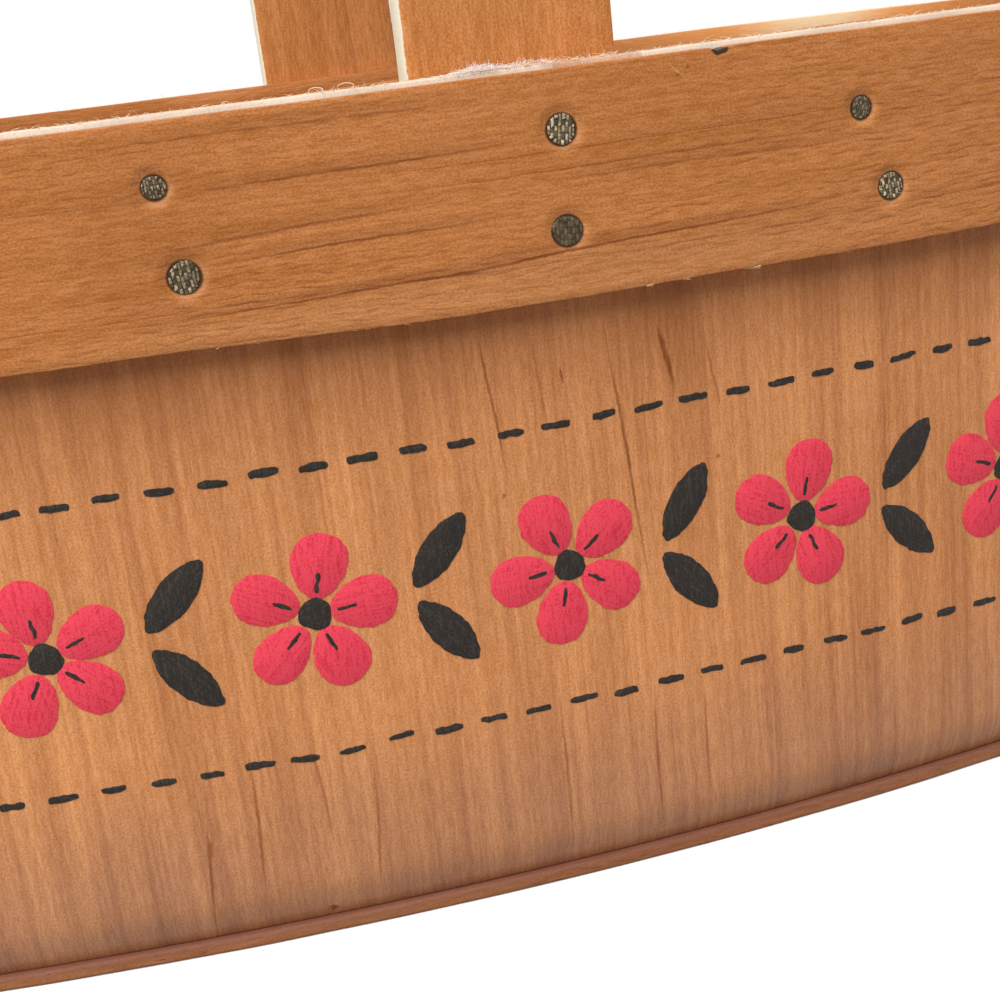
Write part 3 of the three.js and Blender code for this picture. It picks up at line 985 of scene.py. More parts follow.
def throw_fur(dice, first, last, count):
    strands = []
    for _ in range(count):
        along = dice.uniform(first, last)
        depth = -dice.uniform(*FUR_DEPTH)
        length = dice.choice(FUR_LENGTHS)
        run, rise, out, bow = [dice.uniform(*span) * length for span in FUR_SPANS]
        knots = []
        for share in FUR_KNOTS:
            aside = along + run * share + bow * share * (1 - share) * 2
            height = WALL_TOP - FUR_ROOT + rise * share * (FUR_STEEP - FUR_SLACK * share)
            place = round_plan([aside], AT_TOP + depth + out * share * share, height)[0]
            knots.append((place, dice.uniform(*FUR_RADIUS) * (1.1 - FUR_TAPER * share)))
        strands.append(knots)
    return strands


def curl(dice, along, size):
    knots = []
    for step in range(CURL_STEPS + 1):
        turn = CURL_FROM - CURL_THROUGH * step / CURL_STEPS
        run = along + size * CURL_WIDE * math.cos(turn)
        rise = size * (CURL_LIFT + CURL_TALL * math.sin(turn))
        place = round_plan([run], AT_TOP - CURL_DEPTH + CURL_PITCH * step, WALL_TOP + rise)[0]
        knots.append((place, dice.uniform(*CURL_RADIUS)))
    return knots


fur_dice = random.Random(31)
fur_strands = throw_fur(fur_dice, 0, PLAN_LENGTH, FUR_COUNT)
fur_strands += throw_fur(fur_dice, *RIGHT_FUR, RIGHT_FUR_COUNT)
fur_strands += [curl(fur_dice, along, size) for along, size in CURLS]
edge_fur = strand_mesh("edge_fur", fur_strands)
finish_piece(edge_fur, "wall_wood", angle=60)

# %% [markdown]
# ## Splinters and lint
# The saw lifted a few splinters along the outer strip's lower edge, and they follow that edge where it
# was cut high. A few are placed one by one, two of them stout, and the rest are thrown. In front of the
# handle's leg a tuft of lint has caught: thin strands that wander about a low mound.

# %% Splinters and lint
SPLINTER_RADIUS = 0.17 * MM
SPLINTER_KNOTS = (0.0, 0.4, 0.8, 1.0)
SPLINTER_ROOT = 0.15 * MM
SPLINTER_DEPTH = 0.35 * MM
SPLINTER_LENGTH = 1.4 * MM
SPLINTER_COUNT = 70
SPLINTER_DROOP = (0.05 * MM, 0.45 * MM)
SPLINTER_OUT = (0, 0.35 * MM)
SPLINTER_TIP = 0.05
HAND_PLACED = ((36.5, -2.9, 2.4), (17.4, -1.1, 2.5), (-47.0, 1.0, 1.0), (-31.5, 0.8, 1.0), (52.0, 1.2, 1.0))
LINT_RADIUS = 0.02 * MM
LINT_KNOTS = 6
LINT_TUFTS = ((-6 * MM, 8 * MM, 210), (2 * MM, 9 * MM, 60))
LINT_CROWD = 2.4
LINT_DEPTHS = (-2.2 * MM, 0.4 * MM)
LINT_FRONT = 0.4 * MM
LINT_BACK = -2.4 * MM
LINT_LOOSE = 0.5
LINT_WANDER = 1.1
LINT_STEP = 0.5 * MM
LINT_STEP_IN = 0.4 * MM
LINT_MOUND = 1.1 * MM
LINT_FLOOR = 0.01 * MM


def splinter(dice, along, length, stout=1.0):
    droop = dice.uniform(*SPLINTER_DROOP)
    out = dice.uniform(*SPLINTER_OUT)
    knots = []
    for share in SPLINTER_KNOTS:
        run = along + length * share
        height = OUTER_FOOT + float(high_cut(run)) + SPLINTER_ROOT - droop * share * share
        place = round_plan([run], OUTER_FACE - SPLINTER_DEPTH + out * share + lean_at(height), height)[0]
        knots.append((place, SPLINTER_RADIUS * stout * (1 + SPLINTER_TIP - share)))
    return knots


def throw_splinters(dice):
    strands = [splinter(dice, along * MM, length * MM, stout) for along, length, stout in HAND_PLACED]
    for _ in range(SPLINTER_COUNT):
        along = dice.uniform(0, PLAN_LENGTH)
        strands.append(splinter(dice, along, dice.uniform(-SPLINTER_LENGTH, SPLINTER_LENGTH)))
    return strands


def throw_lint(dice, along, spread, count):
    strands = []
    for _ in range(count):
        place = along + dice.gauss(0, spread / LINT_CROWD)
        depth = dice.uniform(*LINT_DEPTHS)
        heading = dice.uniform(0, 2 * math.pi)
        mound = LINT_MOUND * math.exp(-((place - along) / (spread / 2)) ** 2)
        knots = []
        for _ in range(LINT_KNOTS):
            height = WALL_TOP + LINT_FLOOR + abs(dice.gauss(0, LINT_LOOSE)) * mound
            knots.append((round_plan([place], AT_TOP + depth, height)[0], LINT_RADIUS))
            heading += dice.gauss(0, LINT_WANDER)
            place += LINT_STEP * math.cos(heading)
            depth = min(LINT_FRONT, max(LINT_BACK, depth + LINT_STEP_IN * math.sin(heading)))
        strands.append(knots)
    return strands


edge_splinters = strand_mesh("edge_splinters", throw_splinters(random.Random(32)))
lint_dice = random.Random(33)
lint_strands = [strand for tuft in LINT_TUFTS for strand in throw_lint(lint_dice, *tuft)]
lint_tuft = strand_mesh("lint_tuft", lint_strands)
finish_piece(edge_splinters, "rim_wood", angle=60)
finish_piece(lint_tuft, "wall_wood", angle=60)

# %% [markdown]
# ## Brush marks
# The front carries a hand-painted border: a row of five-petalled blossoms with leaves between them, and
# a straight row of stitches above and below. Each brush mark is a thin patch of paint. A filled circle
# is pulled to the mark's outline on the bench, which noise pushes about as a hand does, extruded to the
# paint's thickness, and its edge is rounded by an inset. Marks that lie on others are lifted, so that
# their faces don't fight.

# %% Brush marks
PAINT_THICKNESS = 0.07 * MM
PAINT_SIDE = 0.6 * PAINT_THICKNESS
PAINT_ROUND = 0.07 * MM
SECOND_COAT = 0.6 * PAINT_THICKNESS
BRUSH_WAVES = 1.1 * MM
BRUSH_PUSH = 0.27 * MM
BRUSH_APART = 31.7
BRUSH_SEEDS = (0, 90)
PETAL_SWELL = 0.2
LEAF_POINTED = 0.45
STITCH_ENDS = 0.7
STITCH_SIDES = 0.45


def brush_mark(centre, turn, outline, dice, base=0.0):
    """One patch of paint on the bench, with its stroke kept as an attribute."""
    select_only()
    bpy.ops.mesh.primitive_circle_add(vertices=len(outline), radius=MM, fill_type="NGON")
    mark = bpy.context.object
    seed = dice.uniform(*BRUSH_SEEDS)
    depths = (seed, seed + BRUSH_APART)
    uneven = [[noise.noise((x / BRUSH_WAVES, y / BRUSH_WAVES, depth)) for depth in depths]
              for x, y in outline]
    put_points(mark, np.column_stack((outline + BRUSH_PUSH * np.array(uneven), np.zeros(len(outline)))))
    edit(mark)
    faces_outward()
    extrude_up(PAINT_SIDE)
    bpy.ops.mesh.inset(thickness=PAINT_ROUND, depth=PAINT_THICKNESS - PAINT_SIDE)
    faces_outward()
    leave_edit()
    points = points_of(mark)
    keep(mark, "stroke", points + np.array((seed, seed, 0)))
    cosine = math.cos(turn)
    sine = math.sin(turn)
    x = centre[0] + cosine * points[:, 0] - sine * points[:, 1]
    y = centre[1] + sine * points[:, 0] + cosine * points[:, 1]
    put_points(mark, np.column_stack((x, y, base + points[:, 2])))
    return mark


def round_turn(count):
    turn = np.arange(count) * 2 * math.pi / count
    return np.cos(turn), np.sin(turn)


def petal_outline(length, width, count=64):
    cosine, sine = round_turn(count)
    return np.column_stack((length / 2 * cosine, width / 2 * (1 + PETAL_SWELL * cosine) * sine))


def leaf_outline(length, width, count=60):
    cosine, sine = round_turn(count)
    breadth = 1 - LEAF_POINTED + LEAF_POINTED * np.abs(sine)
    return np.column_stack((length / 2 * cosine, width / 2 * breadth * sine))


def stitch_outline(length, width, count=44):
    cosine, sine = round_turn(count)
    run = np.sign(cosine) * np.abs(cosine) ** STITCH_ENDS
    across = np.sign(sine) * np.abs(sine) ** STITCH_SIDES
    return np.column_stack((length / 2 * run, width / 2 * across))


print("paint is", PAINT_THICKNESS / MM, "mm thick")

# %% [markdown]
# ## The painted border
# The border keeps to the front between the corners. Its sizes are those of a small round brush:
# blossoms about 28 mm across, leaves about 15 mm long, and stitches about 5 mm long.

# %% Paint the border
BLOSSOM_PITCH = 44 * MM
BLOSSOM_HEIGHT = 60 * MM
BLOSSOMS = (-2, -1, 0, 1, 2)
BLOSSOM_TILT = (0, 1.2)
PETALS = 5
PETAL_BREADTH = (0.94, 1.05)
PETAL_STRAY = 0.05
PETAL_SIZE = (11.4 * MM, 9.0 * MM)
PETAL_REACH = 8.4 * MM
VEIN_SIZE = (3.4 * MM, 0.7 * MM)
VEIN_REACH = 5.6 * MM
EYE_SIZE = (5.6 * MM, 5.6 * MM)
EYE_POINTS = 36
LEAF_PAIRS = (-1.5, -0.5, 0.5, 1.5)
LEAF_SIZE = (15 * MM, 6.2 * MM)
LEAF_REACH = 7.2 * MM
LEAF_TURN = 0.9
LEAF_STRAY = 0.06
STITCH_SIZE = (4.7 * MM, 1.25 * MM)
STITCH_LENGTHS = (0.86, 1.12)
STITCH_WIDTHS = (0.85, 1.15)
STITCH_STRAY_ALONG = 0.25 * MM
STITCH_STRAY_UP = 0.2 * MM
STITCH_STRAY_TURN = 0.05
STITCH_PITCH = 8.2 * MM
STITCH_ROWS = (85 * MM, 35 * MM)
BORDER_HALF = 98 * MM


def paint_blossom(dice, along, height, red, dark):
    tilt = dice.uniform(*BLOSSOM_TILT)
    for petal in range(PETALS):
        turn = tilt + petal * 2 * math.pi / PETALS + dice.gauss(0, PETAL_STRAY)
        outward = np.array((math.cos(turn), math.sin(turn)))
        centre = np.array((along, height))
        outline = petal_outline(PETAL_SIZE[0], PETAL_SIZE[1] * dice.uniform(*PETAL_BREADTH))
        red.append(brush_mark(centre + PETAL_REACH * outward, turn, outline, dice))
        vein = stitch_outline(*VEIN_SIZE)
        dark.append(brush_mark(centre + VEIN_REACH * outward, turn, vein, dice, SECOND_COAT))
    dark.append(brush_mark((along, height), tilt, petal_outline(*EYE_SIZE, EYE_POINTS), dice, SECOND_COAT))


def paint_leaves(dice, along, height, dark):
    for side in (-1, 1):
        turn = side * LEAF_TURN + dice.gauss(0, LEAF_STRAY)
        dark.append(brush_mark((along, height + side * LEAF_REACH), turn, leaf_outline(*LEAF_SIZE), dice))


def paint_stitches(dice, dark):
    count = int(2 * BORDER_HALF / STITCH_PITCH)
    for row in STITCH_ROWS:
        for step in range(count + 1):
            along = -BORDER_HALF + step * STITCH_PITCH + dice.gauss(0, STITCH_STRAY_ALONG)
            length = STITCH_SIZE[0] * dice.uniform(*STITCH_LENGTHS)
            width = STITCH_SIZE[1] * dice.uniform(*STITCH_WIDTHS)
            place = (along, row + dice.gauss(0, STITCH_STRAY_UP))
            turn = dice.gauss(0, STITCH_STRAY_TURN)
            dark.append(brush_mark(place, turn, stitch_outline(length, width), dice))


print("border is", 2 * BORDER_HALF / MM, "mm long")

# %% [markdown]
# All the marks of one colour are joined and laid on the wall's face. They take the wall's own stock
# places with them, so the grain shows through the paint in step.

# %% Lay the border on the wall
PAINT_LIFT = 0.05 * MM


def lay_on_wall(name, marks):
    painted = marks[0]
    select_only(*marks[::-1])
    bpy.ops.object.join()
    painted.name = name
    points = points_of(painted)
    along = points[:, 0]
    height = points[:, 1]
    stock = wall_stock(height - WALL_FOOT, np.mod(along - WALL_START, PLAN_LENGTH))
    keep(painted, "stock", np.column_stack((stock, 0 * along)))
    put_points(painted, on_wall(along, height, PAINT_LIFT + points[:, 2]))
    return painted


def paint_border():
    dice = random.Random(44)
    red = []
    dark = []
    for place in BLOSSOMS:
        paint_blossom(dice, place * BLOSSOM_PITCH, BLOSSOM_HEIGHT, red, dark)
    for place in LEAF_PAIRS:
        paint_leaves(dice, place * BLOSSOM_PITCH, BLOSSOM_HEIGHT, dark)
    paint_stitches(dice, dark)
    return lay_on_wall("painted_petals", red), lay_on_wall("painted_dark_marks", dark)


painted_petals, painted_dark_marks = paint_border()
finish_piece(painted_petals, "wall_wood", angle=30)
finish_piece(painted_dark_marks, "wall_wood", angle=30)

# %% [markdown]
# ## Nodes in short
# A material is a small sum of nodes, and writing each one out in full hides the idea. These helpers add
# a node, feed its inputs with values or other outputs, and give back the output.

# %% Node helpers
def feed(tree, node, feeds):
    """Sets a node's inputs to values, or links them to the outputs of other nodes."""
    for name, value in feeds.items():
        if isinstance(value, bpy.types.NodeSocket):
            tree.links.new(value, node.inputs[name])
        else:
            node.inputs[name].default_value = value
    return node


def put(tree, kind, feeds=(), **settings):
    made = tree.nodes.new(kind)
    for name, value in settings.items():
        setattr(made, name, value)
    return feed(tree, made, dict(feeds))


print("nodes are fed by the names of their inputs")

# %% [markdown]
# Most of a material is arithmetic on single values, and a few short names read better than node after
# node. Noise is pulled out along the grain by its number of waves in each direction.

# %% Sums and noise
def sums(tree, operation, *values):
    return put(tree, "ShaderNodeMath", enumerate(values), operation=operation).outputs[0]


def vectors(tree, operation, *values):
    return put(tree, "ShaderNodeVectorMath", enumerate(values), operation=operation).outputs[0]


def times(tree, product, *factors):
    for factor in factors:
        product = sums(tree, "MULTIPLY", product, factor)
    return product


def most(tree, largest, *others):
    for other in others:
        largest = sums(tree, "MAXIMUM", largest, other)
    return largest


def less(tree, value, taken):
    return sums(tree, "SUBTRACT", value, taken)


def onto(tree, base, value, factor):
    """The base with so many times the value added to it."""
    return sums(tree, "MULTIPLY_ADD", value, factor, base)


def clouds(tree, vector, waves, detail=2.0, roughness=0.5):
    """Noise with so many waves for each metre along, across and through the grain."""
    feeds = {"Vector": vectors(tree, "MULTIPLY", vector, waves), "Scale": 1.0, "Detail": detail,
             "Roughness": roughness}
    return put(tree, "ShaderNodeTexNoise", feeds).outputs["Fac"]


def between(tree, value, low, high, first=0.0, last=1.0):
    feeds = {"Value": value, "From Min": low, "From Max": high, "To Min": first, "To Max": last}
    return put(tree, "ShaderNodeMapRange", feeds, interpolation_type="SMOOTHSTEP").outputs["Result"]


def patches(tree, vector, waves, low, high, first=0.0, last=1.0, detail=2.0):
    """Noise drawn apart into patches: first where it stays under low, last where it passes high."""
    return between(tree, clouds(tree, vector, waves, detail), low, high, first, last)


def mixed(tree, share, first, second, blend="MIX"):
    feeds = {0: share, 6: first, 7: second}
    return put(tree, "ShaderNodeMix", feeds, data_type="RGBA", blend_type=blend).outputs[2]


def split(tree, vector):
    return put(tree, "ShaderNodeSeparateXYZ", {"Vector": vector}).outputs


def joined(tree, x, y, z):
    return put(tree, "ShaderNodeCombineXYZ", {"X": x, "Y": y, "Z": z}).outputs["Vector"]


def kept(tree, name, output="Fac"):
    """What a piece keeps under a name: a number, or its Vector."""
    return put(tree, "ShaderNodeAttribute", attribute_name=name).outputs[output]


print("sums and noise ready")

# %% [markdown]
# What several finishes share is made once, as a node group with named inputs and outputs.

# %% New groups
FLOAT = "NodeSocketFloat"
COLOUR = "NodeSocketColor"
VECTOR = "NodeSocketVector"


def new_group(name, inlets, outlets):
    group = bpy.data.node_groups.new(name, "ShaderNodeTree")
    for label, kind, value in inlets:
        socket = group.interface.new_socket(label, in_out="INPUT", socket_type=kind)
        socket.default_value = value
    for label, kind in outlets:
        group.interface.new_socket(label, in_out="OUTPUT", socket_type=kind)
    return group, group.nodes.new("NodeGroupInput").outputs, group.nodes.new("NodeGroupOutput")


print("groups take", FLOAT, COLOUR, "and", VECTOR)

# %% [markdown]
# ## The figure of the wood
# The figure is read from the stock attribute, where X is the grain. The ring lines are thin and dark,
# and they come and go along the grain. Between them lie short wavy dashes in places, small flecks, a
# few dark pores, and slow clouds of deeper stain. Noise pulled out along the grain gives the flecks,
# pores and clouds, and a sawtooth across the grain gives the lines and the dashes.

# %% Patterns in the grain
BEND_WAVES = (4.5, 16, 16)
SHIVER_WAVES = (150, 260, 260)
DASH_WAVES = (170, 900, 900)
DASH_PATCHES = (9, 26, 26)
FLECK_WAVES = (300, 1600, 1600)
GRIT_WAVES = (2300, 3000, 3000)
PORE_WAVES = (230, 2300, 2300)
BROAD_CLOUDS = (8, 60, 60)
STREAK_CLOUDS = (16, 260, 260)
NARROW_CLOUDS = (14, 760, 760)
RING_SHIVER = 0.5 * MM
DASH_SHIVER = 2.2 * MM
DASH_SPACING = 1.1 * MM
RING_END = 0.985


def ring_lines(group, given, bent, shiver, grain):
    """Thin late-wood lines, and the soft shade that deepens towards each of them."""
    count = sums(group, "DIVIDE", onto(group, bent, shiver, RING_SHIVER), given["Ring Spacing"])
    feeds = {"W": count, "Scale": 0.6, "Detail": 1.0}
    jitter = put(group, "ShaderNodeTexNoise", feeds, noise_dimensions="1D")
    count = onto(group, count, jitter.outputs["Fac"], 2.2)
    ring = sums(group, "FRACT", count)
    number = sums(group, "FLOOR", count)
    chance = put(group, "ShaderNodeTexWhiteNoise", {"W": number}, noise_dimensions="1D").outputs["Value"]
    run = joined(group, times(group, grain, given["Ring Fade"]), times(group, number, 3.7), 0.0)
    fade = patches(group, run, (1, 1, 1), 0.38, 0.6, 0.12, detail=1.0)
    strength = times(group, between(group, chance, 0.1, 0.95), fade)
    edge = between(group, ring, RING_END, 1.0, 1.0, 0.0)
    line = between(group, ring, less(group, 1.0, given["Line Width"]), RING_END)
    late = times(group, sums(group, "POWER", ring, 5.0), edge)
    return times(group, line, edge, strength), times(group, late, strength, given["Ring Shade"])


def wavy_dashes(group, given, stock, bent, shiver):
    fine = sums(group, "FRACT", sums(group, "DIVIDE", onto(group, bent, shiver, DASH_SHIVER), DASH_SPACING))
    fine = times(group, between(group, fine, 0.4, 0.9), between(group, fine, 0.92, 1.0, 1.0, 0.0))
    broken = patches(group, stock, DASH_WAVES, 0.42, 0.6, detail=1.0)
    where = patches(group, stock, DASH_PATCHES, 0.38, 0.62, 0.15, detail=1.0)
    return times(group, fine, broken, where, given["Dashes"])


def stain_clouds(group, stock):
    broad = patches(group, stock, BROAD_CLOUDS, 0.3, 0.7, detail=3.0)
    streaky = patches(group, stock, STREAK_CLOUDS, 0.35, 0.68)
    narrow = patches(group, stock, NARROW_CLOUDS, 0.35, 0.68)
    return onto(group, onto(group, times(group, broad, 0.35), streaky, 0.35), narrow, 0.3)


print("rings, dashes and clouds ready")

# %% [markdown]
# The group bends the grain slowly, lays these patterns on it, and adds flecks and pores. It gives them
# out one by one, because each finish stains them in its own way, and a height for the bump.

# %% Wood figure group
def make_wood_figure():
    inlets = [
        ("Stock", VECTOR, (0, 0, 0)), ("Ring Spacing", FLOAT, 6 * MM), ("Ring Wander", FLOAT, 4 * MM),
        ("Line Width", FLOAT, 0.07), ("Ring Fade", FLOAT, 9.0), ("Ring Shade", FLOAT, 0.3),
        ("Dashes", FLOAT, 0.5), ("Pore Limit", FLOAT, 0.7),
    ]
    outlets = [(label, FLOAT) for label in ("Rings", "Shade", "Flecks", "Pores", "Clouds", "Height")]
    group, given, leave = new_group("wood_figure", inlets, outlets)
    stock = given["Stock"]
    grain, across, depth = split(group, stock)

    slow = less(group, clouds(group, stock, BEND_WAVES), 0.5)
    bent = onto(group, across, slow, times(group, given["Ring Wander"], 2.0))
    bent = onto(group, bent, depth, 0.6)
    shiver = less(group, clouds(group, stock, SHIVER_WAVES, detail=1.0), 0.5)
    rings, shade = ring_lines(group, given, bent, shiver, grain)
    dashes = wavy_dashes(group, given, stock, bent, shiver)

    fleck = clouds(group, stock, FLECK_WAVES, roughness=0.6)
    grit = clouds(group, stock, GRIT_WAVES, detail=1.0)
    flecks = between(group, onto(group, times(group, fleck, 0.48), grit, 0.52), 0.34, 0.66)
    pore = clouds(group, stock, PORE_WAVES, detail=1.0)
    pores = between(group, less(group, pore, given["Pore Limit"]), 0.0, 0.09)

    height = onto(group, times(group, flecks, 0.6), rings, -0.8)
    height = onto(group, height, pores, -0.6)
    height = onto(group, height, dashes, -0.8)
    feed(group, leave, {"Rings": rings, "Shade": sums(group, "ADD", shade, dashes), "Flecks": flecks,
                        "Pores": pores, "Clouds": stain_clouds(group, stock), "Height": height})
    return group


wood_figure = make_wood_figure()
print("wood figure has", len(wood_figure.nodes), "nodes")

# %% [markdown]
# ## Stain over the figure
# The stain sits in the wood: deep where the wood is soft, dark in the rings and pores, and thin on the
# flecks, which are pale as well as light. The pale end of the fleck tint is bluish white, so the pale
# flecks are partly the wood's own and partly painted glints. Where a strip was sawn after staining, the
# raw wood shows, so a pale mask swaps the stain for pale wood; the same mask also carries painted
# highlights: a crescent beside each nail head, and a painted pool of light on the inner strip's far
# corner. Painted shade comes in as a mask with its own colour, because it differs from place to place:
# a cool painted shade at the foot of the wall, a near-black painted shadow round the nail heads and in
# the chip, and a red-brown painted shade along the top of the board's lip. The marks, which darken
# towards the line colour, carry a painted shadow under the rim strip and a broad painted shade on the
# left of the outer strip as well.

# %% Stain group
FLECK_DEEP = (0.83, 0.74, 0.52, 1)
# Bluish white: the pale flecks are partly the wood's own and partly painted glints.
FLECK_PALE_GLINT = (1.17, 1.27, 1.6, 1)
WHITE = (1, 1, 1, 1)


def make_stain():
    masks = ("Rings", "Shade", "Flecks", "Pores", "Clouds", "Marks", "Raw", "Painted Shade", "Fleck Strength")
    colours = ("Light Stain", "Deep Stain", "Line", "Pale Wood", "Painted Shade Colour")
    inlets = [(label, FLOAT, 0.0) for label in masks] + [(label, COLOUR, WHITE) for label in colours]
    group, given, leave = new_group("stain", inlets, [("Color", COLOUR), ("Roughness", FLOAT)])
    colour = mixed(group, given["Clouds"], given["Light Stain"], given["Deep Stain"])
    for label, strength in (("Shade", 0.6), ("Rings", 0.38), ("Pores", 0.6)):
        colour = mixed(group, times(group, given[label], strength), colour, given["Line"])
    tint = mixed(group, given["Flecks"], FLECK_DEEP, FLECK_PALE_GLINT)
    colour = mixed(group, given["Fleck Strength"], colour, tint, "MULTIPLY")
    # Painted shade, mixed in its own colour.
    colour = mixed(group, given["Painted Shade"], colour, given["Painted Shade Colour"])
    # Pale wood: raw edges, and painted highlights too.
    raw_level = onto(group, 0.95, given["Flecks"], 0.1)
    raw = mixed(group, 1.0, given["Pale Wood"], raw_level, "MULTIPLY")
    colour = mixed(group, given["Raw"], colour, raw)
    # Marks: the wood's own marks, and some painted shade too.
    colour = mixed(group, given["Marks"], colour, given["Line"])
    rough = onto(group, 0.52, given["Flecks"], -0.12)
    rough = onto(group, rough, given["Rings"], 0.08)
    rough = onto(group, rough, given["Raw"], 0.32)
    feed(group, leave, {"Color": colour, "Roughness": rough})
    return group


stain = make_stain()
print("stain has", len(stain.nodes), "nodes")

# %% [markdown]
# ## Marks in the wood
# Every board has its own marks: a bold line of late wood, a dark streak, a pin knot, a nick. They are
# placed one by one, because they are what makes one basket differ from the next. A mark is a soft ellipse
# at a place in the stock, long and thin for a line, and a group makes one from its centre, size and
# slope. The place is first pushed about by noise, once for all the marks of a board, so that they waver
# together as grain does.

# %% Wood marks
RAGGED_WAVES = 900.0
RAGGED_PUSH = (1.2 * MM, 0.4 * MM, 0)
SLOW_WAVES = (32, 32, 0)
SLOW_PUSH = 2.2 * MM
BREAK_WAVES = (210, 1400, 0)


def make_wood_mark():
    inlets = [("Place", VECTOR, (0, 0, 0)), ("Centre", VECTOR, (0, 0, 0)),
              ("Half Size", VECTOR, (MM, MM, 1)), ("Slope", FLOAT, 0.0), ("Strength", FLOAT, 1.0)]
    group, given, leave = new_group("wood_mark", inlets, [("Mask", FLOAT)])
    grain, across, _ = split(group, vectors(group, "SUBTRACT", given["Place"], given["Centre"]))
    level = joined(group, grain, less(group, across, times(group, grain, given["Slope"])), 0.0)
    share = vectors(group, "DIVIDE", level, given["Half Size"])
    length = put(group, "ShaderNodeVectorMath", {0: share}, operation="LENGTH").outputs["Value"]
    feed(group, leave, {"Mask": times(group, between(group, length, 0.3, 1.0, 1.0, 0.0), given["Strength"])})
    return group


wood_mark = make_wood_mark()


def wavered_place(tree, stock):
    """The stock place pushed about: finely by a ragged noise, and slowly across the grain."""
    feeds = {"Vector": stock, "Scale": RAGGED_WAVES, "Detail": 2.0}
    ragged = put(tree, "ShaderNodeTexNoise", feeds).outputs["Color"]
    ragged = vectors(tree, "SUBTRACT", ragged, (0.5, 0.5, 0.5))
    slow = less(tree, clouds(tree, stock, SLOW_WAVES, detail=1.0), 0.5)
    moved = vectors(tree, "ADD", stock, vectors(tree, "MULTIPLY", ragged, RAGGED_PUSH))
    return vectors(tree, "ADD", moved, joined(tree, 0.0, times(tree, slow, SLOW_PUSH), 0.0))


def lay_marks(tree, place, marks):
    masks = []
    for centre, half_size, slope, strength in marks:
        feeds = {"Place": place, "Centre": centre, "Half Size": half_size, "Slope": slope,
                 "Strength": strength}
        masks.append(put(tree, "ShaderNodeGroup", feeds, node_tree=wood_mark).outputs["Mask"])
    broken = patches(tree, place, BREAK_WAVES, 0.3, 0.58, 0.65)
    return times(tree, most(tree, *masks), broken)


print("wood mark has", len(wood_mark.nodes), "nodes")

# %% [markdown]
# ## One recipe for the wood finishes
# The wall, the rim, the handle and the bottom are the same wood and stain, cut in different ways. One
# function builds the material from the groups, and each finish gives its own colours, ring spacing,
# marks, pale parts (raw edges and painted highlights) and painted shade.

# %% Wood recipe
RAW_WOOD = (0.96, 0.88, 0.72, 1)
# The cool colour of the painted shade at the wall's foot.
FOOT_SHADE = (0.052, 0.076, 0.105, 1)
GRAIN_BUMP = 0.05 * MM
SATIN = 0.18


def new_material(name):
    material = bpy.data.materials.new(name)
    material.use_nodes = True
    tree = material.node_tree
    return material, tree, tree.nodes["Principled BSDF"]


def give_finish(material, *pieces):
    for piece in pieces:
        piece.data.materials.clear()
        piece.data.materials.append(material)
    print(material.name, "has", len(material.node_tree.nodes), "nodes, on", len(pieces), "pieces")


# The pale mask gives raw wood and painted highlights; the shade mask gives painted shade.
def wood_material(name, colours, figure, fleck, marks=None, pale_mask=None, pale_colour=RAW_WOOD,
                  painted_shade_mask=None, painted_shade_colour=FOOT_SHADE, bump=GRAIN_BUMP, shine=SATIN):
    material, tree, shader = new_material(name)
    stock = kept(tree, "stock", "Vector")
    grown = put(tree, "ShaderNodeGroup", {"Stock": stock, **figure}, node_tree=wood_figure)
    feeds = {label: grown.outputs[label] for label in ("Rings", "Shade", "Flecks", "Pores", "Clouds")}
    feeds.update(zip(("Light Stain", "Deep Stain", "Line"), colours))
    feeds.update({"Fleck Strength": fleck, "Painted Shade Colour": painted_shade_colour})
    feeds["Pale Wood"] = pale_colour(tree, stock) if callable(pale_colour) else pale_colour
    for label, mask in (("Marks", marks), ("Raw", pale_mask), ("Painted Shade", painted_shade_mask)):
        if mask:
            feeds[label] = mask(tree, stock)
    coat = put(tree, "ShaderNodeGroup", feeds, node_tree=stain)
    feeds = {"Height": grown.outputs["Height"], "Strength": 1.0, "Distance": bump}
    relief = put(tree, "ShaderNodeBump", feeds)
    feed(tree, shader, {"Base Color": coat.outputs["Color"], "Roughness": coat.outputs["Roughness"],
                        "Normal": relief.outputs["Normal"], "Specular IOR Level": shine})
    return material


print("wood recipe ready")

# %% [markdown]
# ## The wall's finish
# The sawn top edge is raw, with a smear of stain on it by the right edge of the handle. The lowest part
# of the wall is darkened in a cool colour, a painted shade where the wall tucks in above the lip, and
# the darkening eases off again just above the lip. Under the rim strip the wall is darkened too, a
# painted shadow of the strip. A few thin lines, a streak, pin knots and a nick are placed one by one:
# each row gives a place along and up, a half length and a half width, a slope and a strength.

